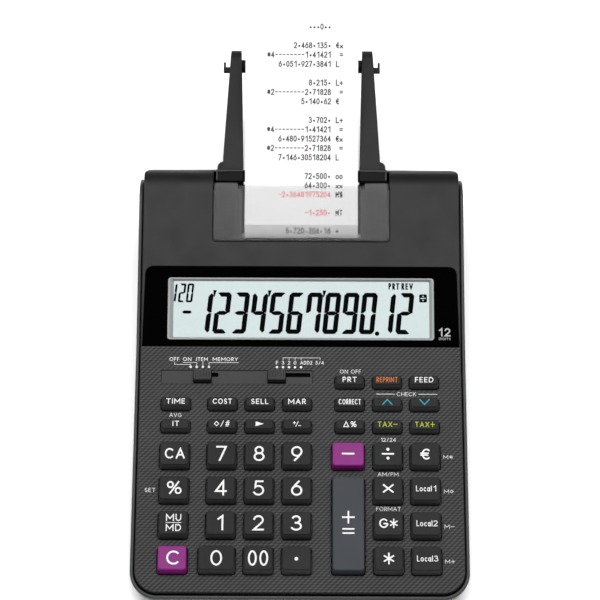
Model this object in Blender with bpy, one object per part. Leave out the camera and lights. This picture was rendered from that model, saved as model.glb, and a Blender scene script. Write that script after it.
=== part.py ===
"""Printing desk calculator with a sloped keyboard, a large display and a paper roll.

Dimensions are in millimetres and are scaled to metres when a mesh is made.
+X is right, +Y is back, +Z is up. Y is measured from the front edge of the case;
the parent empty moves everything so that the whole object is centred over the origin.
"""
import math

import bmesh
import bpy
from mathutils import Vector

MM = 0.001
GAP = 0.3                      # clearance between neighbouring solids

# Overall size
BODY_WIDTH = 165.0
BODY_DEPTH = 225.0
TOTAL_DEPTH = 311.19          # front edge of the case to the end of the paper tape
CORNER_RADIUS = 13.5           # front corners, seen from above
REAR_CORNER_RADIUS = 6.0

# Upper surface, seen from the side: three flat decks and a rounded rear edge
FRONT_HEIGHT = 14.2
KEY_DECK_ANGLE = 7.5
DISPLAY_DECK_Y = 128.3
DISPLAY_DECK_ANGLE = 14.0
PRINTER_DECK_Y = 168.7
PRINTER_DECK_ANGLE = 16.0
RIDGE_Y = 207.0
RIDGE_RADIUS = 14.0

# Case shells
RIM_DROP = 1.6                 # lower case rim below the deck surface
RIM_WIDTH = 1.6
RIM_REAR_Y = 205.0             # the rim turns down from here to the rear edge
RIM_REAR_HEIGHT = 24.0
UPPER_INSET = 2.3              # upper case outline inside the lower case outline
WALL = 2.0
DECK_THICKNESS = 2.3
SKIRT = 3.0
FLOOR_BOTTOM = 2.2
FLOOR_TOP = 4.8
FOOT_RADIUS = 7.0
FOOT_X = 60.0
FOOT_Y = (24.0, 198.0)

# Keyboard: distances along the key deck from the front edge
COLUMNS = (-61.8, -38.7, -20.2, -1.7, 23.5, 43.0, 61.4)
SMALL_OPERATOR_COLUMN = 24.4
ROW_ADD, ROW_LOW, ROW_MIDDLE, ROW_HIGH = (18.2 + 17.65 * i for i in range(4))
ROW_TAX, ROW_MARGIN, ROW_PRINT = (86.65 + 11.7 * i for i in range(3))
MAIN_KEY = (14.6, 12.9, 4.5, 2.2)       # width, length, height, travel
SMALL_KEY = (14.5, 6.0, 3.6, 1.8)
WIDE_KEY = 16.2
ZERO_KEY = 18.2
ZERO_KEY_X = -40.4
KEY_CLEARANCE = 0.3
FLANGE_WIDTH = 0.7
FLANGE_TOP = -DECK_THICKNESS - GAP
FLANGE_BOTTOM = FLANGE_TOP - 1.1

# Slide switches
STRIP_X = (-69.3, 5.9)
STRIP_S = (109.3, 116.4)
STRIP_DEPTH = 0.6
SLOT_S = (113.2, 115.0)
SWITCH_SIZE = (9.3, 6.5, 2.3)
MODE_SWITCH_X = -48.95
MODE_SLOT_X = (-57.6, -41.0)
DECIMAL_SWITCH_X = -11.9
DECIMAL_SLOT_X = (-14.4, 4.7)
SWITCH_S = 112.85

# Electronics under the decks
MEMBRANE = (-6.6, -7.6)        # top and bottom, measured along the deck normal
BOARD = (-7.9, -9.5)
WINDOW_THICKNESS = 1.5
WINDOW_HALF_WIDTH = 78.5
WINDOW_CORNER = 4.0
LCD_THICKNESS = 3.0
LCD_HALF_WIDTH = 67.6
LCD_S = (1.8, 36.6)

# Battery compartment in the floor
BATTERY_X = 54.3
BATTERY_Y = (122.7, 159.0)
BATTERY_TOP = 19.0
BATTERY_WALL = 1.5
BATTERY_COVER_Y = (127.0, 158.7)
BATTERY_COVER_THICKNESS = 1.8

# Adapter socket in the rear wall
SOCKET_X = -58.0
SOCKET_Z = 12.0
SOCKET_SIZE = (8.0, 7.0)
SOCKET_DEPTH_Y = 211.5

# Printer bay
BAY_X = 44.9
BAY_FRONT_Y = 180.9
BAY_LEDGE_X = 41.0
BAY_LEDGE_DROP = 2.0
BAY_RING = 2.2
BAY_REAR_Y = 219.5
COVER_X = 44.5
COVER_Y = (181.5, 209.3)
COVER_EAR_X = 32.2
COVER_EAR_Y = 210.8
COVER_THICKNESS = 1.5
HINGE_Y = 182.5
HINGE_DROP = 0.75
HINGE_PIN_RADIUS = 0.8

# Printer
FRAME_X = (33.2, 34.7)
SHAFT_RADIUS = 1.5
SHAFT_X = 36.2
PLATEN = (192.5, 30.0, 8.0)    # axis y, axis z, radius
DRUM = (176.6, 28.0, 7.0)
INK_ROLLER = (166.0, 21.6, 5.0)
PLATEN_HALF_LENGTH = 29.3
DRUM_HALF_LENGTH = 27.5
INLET_Z = (30.6, 37.6)
INLET_X = 31.0

# Paper
TAPE_HALF_WIDTH = 28.75
TAPE_THICKNESS = 0.2
ROLL_AXIS = (280.0, 56.0)
ROLL_RADIUS = 24.0
CORE_RADIUS = 6.0
TAPE_RISE = 28.0               # degrees, of the free tape behind the cover

# Roll holder
ARM_INNER_X = (29.7, 31.2)     # at the root and at the tip
ARM_OUTER_X = (40.2, 36.9)
ARM_TIP_RADIUS = 8.2
HUB_FACE_X = 30.3
HUB_END_X = 24.5
HUB_RADIUS = 3.5
STUB_RADIUS = 2.8

# Colours: red, green, blue
CHARCOAL = (0.035, 0.035, 0.037)
KEY_BLACK = (0.018, 0.018, 0.02)
PURPLE = (0.25, 0.03, 0.24)
SLATE = (0.07, 0.08, 0.09)
GLOSS_BLACK = (0.004, 0.004, 0.004)
SMOKE = (0.12, 0.12, 0.12)
PAPER = (0.9, 0.9, 0.9)
STEEL = (0.55, 0.55, 0.57)
RUBBER = (0.03, 0.03, 0.03)
BOARD_GREEN = (0.02, 0.16, 0.06)
LCD_GREY = (0.55, 0.62, 0.55)
INK_PURPLE = (0.06, 0.02, 0.07)


class Deck:
    """A flat sloped face, with s along the slope and n along its outward normal."""

    def __init__(self, y, z, degrees):
        self.y, self.z = y, z
        self.sin = math.sin(math.radians(degrees))
        self.cos = math.cos(math.radians(degrees))

    def point(self, x, s, n):
        return (x, self.y + s * self.cos - n * self.sin, self.z + s * self.sin + n * self.cos)

    def height(self, y):
        return self.z + (y - self.y) * self.sin / self.cos

    def s_at(self, y):
        return (y - self.y) / self.cos


KEY_DECK = Deck(0.0, FRONT_HEIGHT, KEY_DECK_ANGLE)
DISPLAY_DECK = Deck(DISPLAY_DECK_Y, KEY_DECK.height(DISPLAY_DECK_Y), DISPLAY_DECK_ANGLE)
PRINTER_DECK = Deck(PRINTER_DECK_Y, DISPLAY_DECK.height(PRINTER_DECK_Y), PRINTER_DECK_ANGLE)
RIDGE_CENTRE = (RIDGE_Y + RIDGE_RADIUS * PRINTER_DECK.sin,
                PRINTER_DECK.height(RIDGE_Y) - RIDGE_RADIUS * PRINTER_DECK.cos)


def deck_height(y):
    """Height of the upper surface at y."""
    if y <= DISPLAY_DECK_Y:
        return KEY_DECK.height(y)
    if y <= PRINTER_DECK_Y:
        return DISPLAY_DECK.height(y)
    if y <= RIDGE_Y:
        return PRINTER_DECK.height(y)
    return RIDGE_CENTRE[1] + math.sqrt(RIDGE_RADIUS ** 2 - (y - RIDGE_CENTRE[0]) ** 2)


def rim_height(y, inset=0.0):
    """Height of the lower case rim: along the decks, then a quarter ellipse down the rear.

    The ellipse ends at the rear edge of the outline with the given inset.
    """
    if y <= RIM_REAR_Y:
        return deck_height(y) - RIM_DROP
    reach = (y - RIM_REAR_Y) / (BODY_DEPTH - inset - RIM_REAR_Y)
    rise = deck_height(RIM_REAR_Y) - RIM_DROP - RIM_REAR_HEIGHT
    return RIM_REAR_HEIGHT + rise * math.sqrt(max(0.0, 1.0 - reach ** 2))


BREAKS = (DISPLAY_DECK_Y, PRINTER_DECK_Y, RIM_REAR_Y, RIDGE_Y, 211.0, 215.0, 218.0, 220.7)
RIM_STEPS = (208.5, 211.5)     # further points along the falling part of the rim
MIN_CORNER = 1.5               # smallest corner of an inner outline


# ---------------------------------------------------------------- mesh helpers

def make_object(name, bm, colour=CHARCOAL, roughness=0.5, metallic=0.0, alpha=1.0):
    bmesh.ops.recalc_face_normals(bm, faces=bm.faces)
    bmesh.ops.triangulate(bm, faces=bm.faces)
    mesh = bpy.data.meshes.new(name)
    bm.to_mesh(mesh)
    bm.free()
    obj = bpy.data.objects.new(name, mesh)
    bpy.context.scene.collection.objects.link(obj)
    obj.parent = origin
    material = bpy.data.materials.new(name)
    material.use_nodes = True
    shader = material.node_tree.nodes["Principled BSDF"]
    shader.inputs["Base Color"].default_value = (*colour, 1.0)
    shader.inputs["Roughness"].default_value = roughness
    shader.inputs["Metallic"].default_value = metallic
    shader.inputs["Alpha"].default_value = alpha
    mesh.materials.append(material)
    return obj


def add_loft(bm, loops, ring=False):
    """Skin a list of point loops of equal length; cap the ends unless it is a ring."""
    rows = [[bm.verts.new(Vector(p) * MM) for p in loop] for loop in loops]
    pairs = list(zip(rows, rows[1:])) + ([(rows[-1], rows[0])] if ring else [])
    for low, high in pairs:
        for i, vert in enumerate(low):
            j = (i + 1) % len(low)
            bm.faces.new((vert, low[j], high[j], high[i]))
    if not ring:
        bm.faces.new(rows[0][::-1])
        bm.faces.new(rows[-1])


def loft(name, loops, ring=False, **look):
    bm = bmesh.new()
    add_loft(bm, loops, ring)
    return make_object(name, bm, **look)


def helper(name, solids):
    """A hidden tool for Booleans, made of one or more separate closed solids."""
    bm = bmesh.new()
    for loops in solids:
        add_loft(bm, loops)
    obj = make_object(name, bm)
    obj.hide_render = True
    obj.display_type = "WIRE"
    return obj


def boolean(obj, tool, operation):
    modifier = obj.modifiers.new(f"{operation.lower()}_{tool.name}", "BOOLEAN")
    modifier.object = tool
    modifier.operation = operation
    modifier.solver = "EXACT"


def rectangle(x, y, chamfer=0.0):
    """Corner points of the rectangle x[0]..x[1], y[0]..y[1], anticlockwise."""
    (x0, x1), (y0, y1), c = x, y, chamfer
    if c == 0.0:
        return [(x0, y0), (x1, y0), (x1, y1), (x0, y1)]
    return [(x0 + c, y0), (x1 - c, y0), (x1, y0 + c), (x1, y1 - c),
            (x1 - c, y1), (x0 + c, y1), (x0, y1 - c), (x0, y0 + c)]


def box(x, y, z):
    outline = rectangle(x, y)
    return [[(px, py, pz) for px, py in outline] for pz in z]


def deck_block(deck, x, s, n, chamfer=0.0):
    """Loops of a straight block that stands on a deck."""
    outline = rectangle(x, s, chamfer)
    return [[deck.point(px, ps, pn) for px, ps in outline] for pn in n]


def side_prism(outline, x):
    """Loops of a prism whose y, z outline runs from x[0] to x[1]."""
    return [[(px, y, z) for y, z in outline] for px in x]


def turned(axis, profile, segments=24):
    """Loops of a turned piece on an axis along X: profile gives x and radius."""
    angles = [2.0 * math.pi * i / segments for i in range(segments)]
    y, z = axis
    return [[(x, y + r * math.cos(a), z + r * math.sin(a)) for a in angles] for x, r in profile]


# ---------------------------------------------------------------- case shells

def case_outline(inset, corner_steps=5):
    """Plan outline of the case: straight sides, four round corners and the deck breaks."""
    side = BODY_WIDTH / 2.0 - inset
    near = CORNER_RADIUS - inset
    far = max(MIN_CORNER, REAR_CORNER_RADIUS - inset)
    front, rear = inset + near, BODY_DEPTH - inset - far
    arcs = []
    for x, y, radius, start in ((side - near, front, near, -90.0), (side - far, rear, far, 0.0),
                                (far - side, rear, far, 90.0), (near - side, front, near, 180.0)):
        angles = [math.radians(start + 90.0 * i / corner_steps) for i in range(corner_steps + 1)]
        arcs.append([(x + radius * math.cos(a), y + radius * math.sin(a)) for a in angles])
    breaks = (DISPLAY_DECK_Y, PRINTER_DECK_Y, RIM_REAR_Y, *RIM_STEPS)
    right = [(side, y) for y in breaks]
    left = [(-side, y) for y in reversed(breaks)]
    return arcs[0] + right + arcs[1] + arcs[2] + left + arcs[3]


def slab(name, outline, top, bottom):
    """Solid over a plan outline, with top and bottom heights that depend on y."""
    bm = bmesh.new()
    bm.faces.new([bm.verts.new((x, y, 0.0)) for x, y in outline])
    for y in BREAKS:
        everything = bm.verts[:] + bm.edges[:] + bm.faces[:]
        bmesh.ops.bisect_plane(bm, geom=everything, plane_co=(0.0, y, 0.0), plane_no=(0.0, 1.0, 0.0))
    bmesh.ops.remove_doubles(bm, verts=bm.verts, dist=0.001)
    low = bm.verts[:]
    raised = bmesh.ops.extrude_face_region(bm, geom=bm.faces[:], use_keep_orig=True)["geom"]
    for vert in low:
        vert.co.z = bottom(vert.co.y)
    for item in raised:
        if isinstance(item, bmesh.types.BMVert):
            item.co.z = top(item.co.y)
    bmesh.ops.scale(bm, vec=(MM, MM, MM), verts=bm.verts)
    return make_object(name, bm, roughness=0.55)


def lower_case():
    def flat(inset, height):
        return [(x, y, height) for x, y in case_outline(inset)]

    def between(inset, share):
        return [(x, y, FLOOR_BOTTOM + share * (rim_height(y, inset) - FLOOR_BOTTOM))
                for x, y in case_outline(inset)]

    def below_rim(inset, drop):
        return [(x, y, rim_height(y, inset) - drop) for x, y in case_outline(inset)]

    loops = [
        flat(9.0, FLOOR_BOTTOM),
        between(5.5, 0.1),
        between(1.6, 0.4),
        between(0.3, 0.75),
        below_rim(0.0, 0.7),
        below_rim(0.6, 0.0),
        below_rim(RIM_WIDTH, 0.0),
        between(RIM_WIDTH + 0.2, 0.66),
        between(3.6, 0.42),
        flat(10.5, FLOOR_TOP),
    ]
    case = loft("lower_case", loops, colour=(0.05, 0.05, 0.052), roughness=0.5)
    wall, half = BATTERY_WALL, BATTERY_X
    y0, y1 = BATTERY_Y
    battery_box = helper("battery_box", [
        box((-half - wall, half + wall), (y0 - wall, y1 + wall), (FLOOR_BOTTOM + 0.2, BATTERY_TOP + wall))])
    width, height = SOCKET_SIZE[0] / 2.0, SOCKET_SIZE[1] / 2.0
    socket_block = helper("socket_block", [
        box((SOCKET_X - width - wall, SOCKET_X + width + wall), (SOCKET_DEPTH_Y - wall, 219.5),
            (FLOOR_TOP - 0.5, SOCKET_Z + height + wall))])
    feet = helper("feet", [foot(x, y) for x in (-FOOT_X, FOOT_X) for y in FOOT_Y])
    cells = helper("battery_space", [box((-half, half), (y0, y1), (-1.0, BATTERY_TOP))])
    socket = helper("socket_space", [
        box((SOCKET_X - width, SOCKET_X + width), (SOCKET_DEPTH_Y, BODY_DEPTH + 5.0),
            (SOCKET_Z - height, SOCKET_Z + height))])
    for tool in (battery_box, socket_block, feet):
        boolean(case, tool, "UNION")
    for tool in (cells, socket):
        boolean(case, tool, "DIFFERENCE")


def foot(x, y, segments=16):
    angles = [2.0 * math.pi * i / segments for i in range(segments)]
    return [[(x + r * math.cos(a), y + r * math.sin(a), z) for a in angles]
            for z, r in ((0.0, FOOT_RADIUS - 0.8), (0.8, FOOT_RADIUS), (FLOOR_BOTTOM + 1.0, FOOT_RADIUS))]


def upper_case():
    outer, inner = UPPER_INSET, UPPER_INSET + WALL
    case = slab("upper_case", case_outline(outer), deck_height,
                lambda y: rim_height(y, outer) - SKIRT)
    hollow = slab("upper_hollow", case_outline(inner), lambda y: deck_height(y) - DECK_THICKNESS,
                  lambda y: rim_height(y, inner) - 3.0 * SKIRT)
    hollow.hide_render = True
    hollow.display_type = "WIRE"
    boolean(case, hollow, "DIFFERENCE")
    boolean(case, bay_ring(), "UNION")
    boolean(case, deck_recesses(), "DIFFERENCE")
    boolean(case, deck_openings(), "DIFFERENCE")
    boolean(case, bay_details(), "DIFFERENCE")


def bay_ring():
    """Thicker frame under the deck, which carries the ledge for the printer cover."""
    s0, s1 = PRINTER_DECK.s_at(BAY_FRONT_Y - 2.5), PRINTER_DECK.s_at(RIDGE_Y)
    depth = (-DECK_THICKNESS - BAY_RING, -DECK_THICKNESS / 2.0)
    half = BAY_X + 2.6
    return helper("bay_ring", [deck_block(PRINTER_DECK, (-half, half), (s0, s1), depth)])


def deck_recesses():
    """Shallow steps in the decks for the switch strip, the display window and the printer cover."""
    window = [[DISPLAY_DECK.point(x, s, n) for x, s in window_outline(-GAP)]
              for n in (-WINDOW_THICKNESS - GAP, 4.0)]
    cover = (PRINTER_DECK.s_at(BAY_FRONT_Y), PRINTER_DECK.s_at(COVER_EAR_Y) + 1.5)
    return helper("deck_recesses", [
        deck_block(KEY_DECK, STRIP_X, STRIP_S, (-STRIP_DEPTH, 3.0)),
        window,
        deck_block(PRINTER_DECK, (-BAY_X, BAY_X), cover, (-BAY_LEDGE_DROP, 6.0)),
    ])


def deck_openings():
    """Everything that goes right through the decks: keys, switches, display, printer and inlet."""
    solids = [key_hole(key) for key in KEYS]
    for slot in (MODE_SLOT_X, DECIMAL_SLOT_X):
        solids.append(deck_block(KEY_DECK, slot, SLOT_S, (-5.0, 4.0)))
    lcd = (LCD_S[0] - 0.5, LCD_S[1] + 0.5)
    half = LCD_HALF_WIDTH + 0.5
    solids.append(deck_block(DISPLAY_DECK, (-half, half), lcd, (-5.0, 4.0)))
    bay = (PRINTER_DECK.s_at(BAY_FRONT_Y - 0.8), PRINTER_DECK.s_at(BAY_REAR_Y - 8.0))
    below_cover = (-9.0, 0.2 - BAY_LEDGE_DROP)
    solids.append(deck_block(PRINTER_DECK, (-BAY_LEDGE_X, BAY_LEDGE_X), bay, below_cover))
    solids.append(box((-INLET_X, INLET_X), (BAY_REAR_Y + 0.2, BODY_DEPTH), INLET_Z))
    return helper("deck_openings", solids)


def bay_details():
    """The open recess behind the printer cover, and the sockets for its hinge pins."""
    reach = (COVER_X - 0.6, BAY_X + 1.9)
    solids = [turned(hinge_axis(), [(side * x, HINGE_PIN_RADIUS + GAP) for x in reach], 12)
              for side in (-1.0, 1.0)]
    solids.append(box((-BAY_X, BAY_X), (208.0, BAY_REAR_Y), (28.0, 62.0)))
    return helper("bay_details", solids)


def hinge_axis():
    return PRINTER_DECK.point(0.0, PRINTER_DECK.s_at(HINGE_Y), -HINGE_DROP)[1:]


# ---------------------------------------------------------------- keyboard

def row(s, size, names, columns):
    """Keys of one row: name, x, s, width, length, height and travel, and colour."""
    width, length, height, travel = size
    return [dict(name=name, x=x, s=s, width=width, length=length, height=height, travel=travel,
                 colour=KEY_BLACK) for name, x in zip(names, columns)]


def key_list():
    c = COLUMNS
    small = (SMALL_OPERATOR_COLUMN, c[5], c[6])
    digits = (c[1], c[2], c[3])
    right = (c[5], c[6])
    keys = row(ROW_PRINT, SMALL_KEY, ("key_print_mode", "key_reprint", "key_feed"), small)
    keys += row(ROW_MARGIN, SMALL_KEY, ("key_time", "key_cost", "key_sell", "key_margin", "key_correct",
                                        "key_check_up", "key_check_down"), c[:4] + small)
    keys += row(ROW_TAX, SMALL_KEY, ("key_item", "key_subtotal", "key_backspace", "key_sign",
                                     "key_delta_percent", "key_tax_minus", "key_tax_plus"), c[:4] + small)
    keys += row(ROW_HIGH, MAIN_KEY, ("key_clear_all", "key_7", "key_8", "key_9"), c[:4])
    keys += row(ROW_HIGH, MAIN_KEY, ("key_minus",), c[4:5])
    keys += row(ROW_HIGH, MAIN_KEY, ("key_divide", "key_euro"), right)
    keys += row(ROW_MIDDLE, MAIN_KEY, ("key_percent",), c[:1])
    keys += row(ROW_MIDDLE, MAIN_KEY, ("key_4", "key_5", "key_6"), digits)
    keys += row(ROW_LOW, MAIN_KEY, ("key_plus_equals",), c[4:5])
    keys += row(ROW_MIDDLE, MAIN_KEY, ("key_multiply", "key_local_1"), right)
    keys += row(ROW_LOW, MAIN_KEY, ("key_markup",), c[:1])
    keys += row(ROW_LOW, MAIN_KEY, ("key_1", "key_2", "key_3"), digits)
    keys += row(ROW_LOW, MAIN_KEY, ("key_grand_total", "key_local_2"), right)
    keys += row(ROW_ADD, MAIN_KEY, ("key_clear",), c[:1])
    keys += row(ROW_ADD, MAIN_KEY, ("key_0", "key_00", "key_point"), (ZERO_KEY_X,) + digits[1:])
    keys += row(ROW_ADD, MAIN_KEY, ("key_total", "key_local_3"), right)
    special = {
        "key_minus": dict(width=WIDE_KEY, colour=PURPLE),
        "key_clear": dict(colour=PURPLE),
        "key_0": dict(width=ZERO_KEY),
        "key_plus_equals": dict(width=WIDE_KEY, length=MAIN_KEY[1] + ROW_MIDDLE - ROW_ADD, colour=SLATE),
    }
    for key in keys:
        key.update(special.get(key["name"], {}))
    return keys


def key_outline(key, grow, front=0.0, rear=0.0, chamfer=1.0):
    """Key outline grown on all sides, with its front and rear edges set back further."""
    half, length = key["width"] / 2.0 + grow, key["length"] / 2.0 + grow
    x = (key["x"] - half, key["x"] + half)
    s = (key["s"] - length + front, key["s"] + length - rear)
    return rectangle(x, s, chamfer)


def key_hole(key):
    outline = key_outline(key, KEY_CLEARANCE, chamfer=1.2)
    return [[KEY_DECK.point(x, s, n) for x, s in outline] for n in (-6.0, 5.0)]


def key_cap(key):
    """Key top with a sloped front, a shaft through the deck and a flange under it."""
    height = key["height"]
    levels = (
        (FLANGE_BOTTOM, FLANGE_WIDTH, 0.0, 0.0),
        (FLANGE_TOP, FLANGE_WIDTH, 0.0, 0.0),
        (FLANGE_TOP, 0.0, 0.0, 0.0),
        (0.3, 0.0, 0.0, 0.0),
        (height - 0.4, -0.45, 0.4, -0.2),
        (height, -0.85, 0.5, -0.2),
    )
    loops = [[KEY_DECK.point(x, s, n) for x, s in key_outline(key, grow, front, rear)]
             for n, grow, front, rear in levels]
    loft(key["name"], loops, colour=key["colour"], roughness=0.45)


def slide_switch(name, x):
    """Knob above the strip with a stem through the slot."""
    width, length, height = SWITCH_SIZE
    stem = rectangle((x - 2.0, x + 2.0), (SLOT_S[0] + GAP, SLOT_S[1] - GAP))
    half, low, high = width / 2.0, SWITCH_S - length / 2.0, SWITCH_S + length / 2.0
    knob = rectangle((x - half, x + half), (low, high))
    crown = rectangle((x - half + 0.5, x + half - 0.5), (low + 0.5, high - 0.5))
    levels = ((-5.0, stem), (GAP - STRIP_DEPTH, stem), (GAP - STRIP_DEPTH, knob),
              (height - 0.4, knob), (height, crown))
    loops = [[KEY_DECK.point(px, ps, n) for px, ps in outline] for n, outline in levels]
    loft(name, loops, colour=KEY_BLACK, roughness=0.5)


def keyboard_layers():
    membrane = deck_block(KEY_DECK, (-70.0, 70.0), (10.5, 118.0), MEMBRANE[::-1])
    loft("key_membrane", membrane, colour=(0.5, 0.5, 0.5), roughness=0.8)
    board = deck_block(KEY_DECK, (-68.0, 68.0), (12.0, 119.0), BOARD[::-1])
    loft("circuit_board", board, colour=BOARD_GREEN, roughness=0.6)


# ---------------------------------------------------------------- display

def window_outline(inset):
    """Window outline on the display deck, with round upper corners."""
    low, high = GAP + inset, DISPLAY_DECK.s_at(PRINTER_DECK_Y) - GAP - inset
    half, corner = WINDOW_HALF_WIDTH - inset, WINDOW_CORNER
    arc = [math.radians(90.0 * i / 4) for i in range(5)]
    right = [(half, low)] + [(half - corner + corner * math.cos(a), high - corner + corner * math.sin(a))
                             for a in arc]
    return right + [(-x, s) for x, s in reversed(right)]


def display():
    loops = [[DISPLAY_DECK.point(x, s, n) for x, s in window_outline(0.0)]
             for n in (-WINDOW_THICKNESS, 0.0)]
    loft("display_window", loops, colour=GLOSS_BLACK, roughness=0.08)
    top = -WINDOW_THICKNESS - GAP
    panel = deck_block(DISPLAY_DECK, (-LCD_HALF_WIDTH, LCD_HALF_WIDTH), LCD_S, (top - LCD_THICKNESS, top))
    loft("lcd_panel", panel, colour=LCD_GREY, roughness=0.3)


# ---------------------------------------------------------------- printer

def printer_cover():
    """Smoked flap with a notch for the tape, ears beside it and two hinge pins."""
    deck = PRINTER_DECK
    front, rear, ear = (deck.s_at(y) for y in (*COVER_Y, COVER_EAR_Y))
    corner = 3.0
    arc = [math.radians(-90.0 + 90.0 * i / 4) for i in range(5)]
    right = [(COVER_X - corner + corner * math.cos(a), front + corner + corner * math.sin(a)) for a in arc]
    right += [(COVER_X, ear), (COVER_EAR_X, ear), (COVER_EAR_X, rear)]
    outline = right + [(-x, s) for x, s in reversed(right)]
    cover = loft("printer_cover", [[deck.point(x, s, n) for x, s in outline]
                                   for n in (-COVER_THICKNESS, 0.0)],
                 colour=SMOKE, roughness=0.15, alpha=0.6)
    reach = (COVER_X - 6.0, BAY_X + 1.5)
    pins = helper("hinge_pins", [
        turned(hinge_axis(), [(side * x, HINGE_PIN_RADIUS) for x in reach], 12) for side in (-1.0, 1.0)])
    boolean(cover, pins, "UNION")


def printer_frame():
    inner, outer = FRAME_X
    side = [(161.0, 5.1), (204.0, 5.1), (204.0, 37.0), (177.0, 37.0), (172.0, 32.0), (161.0, 32.0)]
    frame = loft("printer_frame", box((-outer, outer), (161.0, 204.0), (5.1, 6.6)),
                 colour=STEEL, roughness=0.4, metallic=0.6)
    plates = helper("frame_plates", [side_prism(side, x) for x in ((-outer, -inner), (inner, outer))])
    boolean(frame, plates, "UNION")
    holes = [turned(axis[:2], [(side_x * x, SHAFT_RADIUS + GAP) for x in (inner - 1.0, outer + 1.0)], 12)
             for axis in (PLATEN, DRUM, INK_ROLLER) for side_x in (-1.0, 1.0)]
    boolean(frame, helper("shaft_holes", holes), "DIFFERENCE")


def roller(name, place, half_length, colour, segments, roughness=0.7):
    y, z, radius = place
    profile = [(-SHAFT_X, SHAFT_RADIUS), (-half_length, SHAFT_RADIUS), (-half_length, radius),
               (half_length, radius), (half_length, SHAFT_RADIUS), (SHAFT_X, SHAFT_RADIUS)]
    loft(name, turned((y, z), profile, segments), colour=colour, roughness=roughness)


# ---------------------------------------------------------------- paper

def tape_path():
    """Centre line of the tape in y, z: off the roll, round the platen and out under the cover."""
    def arc(centre, radius, start, end, steps):
        angles = [math.radians(start + (end - start) * i / steps) for i in range(steps + 1)]
        return [(centre[0] + radius * math.cos(a), centre[1] + radius * math.sin(a)) for a in angles]

    wrap = PLATEN[2] + GAP + TAPE_THICKNESS / 2.0
    path = arc(ROLL_AXIS, ROLL_RADIUS + GAP + TAPE_THICKNESS / 2.0, -62.0, -90.0, 3)
    path.append((222.0, path[-1][1]))
    path += arc(PLATEN[:2], wrap, -76.0, -180.0, 7)
    bend = 7.0
    front = PLATEN[0] - wrap
    path += arc((front + bend, 37.3), bend, 180.0, 90.0 + PRINTER_DECK_ANGLE + 0.5, 4)
    slope = math.radians(PRINTER_DECK_ANGLE + 0.5)
    run = (209.0 - path[-1][0]) / math.cos(slope)
    path.append((209.0, path[-1][1] + run * math.sin(slope)))
    path += [(213.0, path[-1][1] + 1.6)]
    free = math.tan(math.radians(TAPE_RISE))
    path.append((292.0, path[-1][1] + 79.0 * free))
    curl = 60.0
    centre = (path[-1][0] - curl * math.sin(math.radians(TAPE_RISE)),
              path[-1][1] + curl * math.cos(math.radians(TAPE_RISE)))
    path += arc(centre, curl, TAPE_RISE - 90.0, TAPE_RISE - 66.0, 4)[1:]
    return path


def paper_tape():
    path = tape_path()
    half = TAPE_THICKNESS / 2.0
    loops = []
    for i, (y, z) in enumerate(path):
        before, after = path[max(i - 1, 0)], path[min(i + 1, len(path) - 1)]
        along = Vector((after[0] - before[0], after[1] - before[1])).normalized()
        dy, dz = -along.y * half, along.x * half
        loops.append([(-TAPE_HALF_WIDTH, y - dy, z - dz), (TAPE_HALF_WIDTH, y - dy, z - dz),
                      (TAPE_HALF_WIDTH, y + dy, z + dz), (-TAPE_HALF_WIDTH, y + dy, z + dz)])
    loft("paper_tape", loops, colour=PAPER, roughness=0.8)


def paper_roll():
    half = TAPE_HALF_WIDTH
    profile = [(-half, CORE_RADIUS), (-half, ROLL_RADIUS), (half, ROLL_RADIUS), (half, CORE_RADIUS)]
    loft("paper_roll", turned(ROLL_AXIS, profile, 36), ring=True, colour=PAPER, roughness=0.8)


def roll_holder():
    """Two arms on one cross bar, with hubs that carry the paper roll."""
    y, z = ROLL_AXIS
    tip = [(y + ARM_TIP_RADIUS * math.cos(a), z + ARM_TIP_RADIUS * math.sin(a))
           for a in (math.radians(-100.0 + 25.0 * i) for i in range(9))]
    lower = [(213.3, 37.0), (218.9, 37.0), (218.9, 50.3), (220.6, 49.3)]
    upper = [(224.0, 55.4), (213.3, 51.0)]
    outline = lower + [(223.0, 47.2)] + tip + upper
    def arm(side):
        root, end = 222.0, y
        loops = []
        for edge in (ARM_INNER_X, ARM_OUTER_X):
            slope = (edge[1] - edge[0]) / (end - root)
            loops.append([(side * (edge[0] + slope * max(0.0, py - root)), py, pz) for py, pz in outline])
        return loops

    holder = loft("roll_holder", box((-30.5, 30.5), (213.3, 217.3), (37.0, 41.0)), colour=CHARCOAL)
    boolean(holder, helper("arms", [arm(-1.0), arm(1.0)]), "UNION")
    hubs, stubs, gussets, roots = [], [], [], []
    gusset = [(223.0, 47.2), (227.5, 47.2), (226.6, 49.6), (224.9, 51.2), (223.0, 51.8)]
    for side in (-1.0, 1.0):
        hubs.append(turned(ROLL_AXIS, [(side * 33.0, HUB_RADIUS), (side * HUB_FACE_X, HUB_RADIUS),
                                       (side * HUB_FACE_X, STUB_RADIUS), (side * HUB_END_X, STUB_RADIUS)], 16))
        stubs.append(turned((y - 2.5, z + 2.0), [(side * 36.0, 1.3), (side * 39.8, 1.3),
                                                 (side * 39.8, 2.4), (side * 40.6, 2.4)], 12))
        gussets.append(side_prism(gusset, (side * 39.0, side * 42.4)))
        roots.append(side_prism(rectangle((213.3, 218.9), (39.0, 49.6)), (side * 38.0, side * 43.5)))
    boolean(holder, helper("holder_details", hubs + stubs + gussets + roots), "UNION")


def battery_cover():
    half = BATTERY_X - GAP
    loft("battery_cover", box((-half, half), BATTERY_COVER_Y,
                              (FLOOR_BOTTOM, FLOOR_BOTTOM + BATTERY_COVER_THICKNESS)),
         colour=(0.05, 0.05, 0.052), roughness=0.5)


# ---------------------------------------------------------------- build

for old in list(bpy.data.objects):
    bpy.data.objects.remove(old)

origin = bpy.data.objects.new("calculator", None)
bpy.context.scene.collection.objects.link(origin)
origin.location = (0.0, -TOTAL_DEPTH / 2.0 * MM, 0.0)

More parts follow.
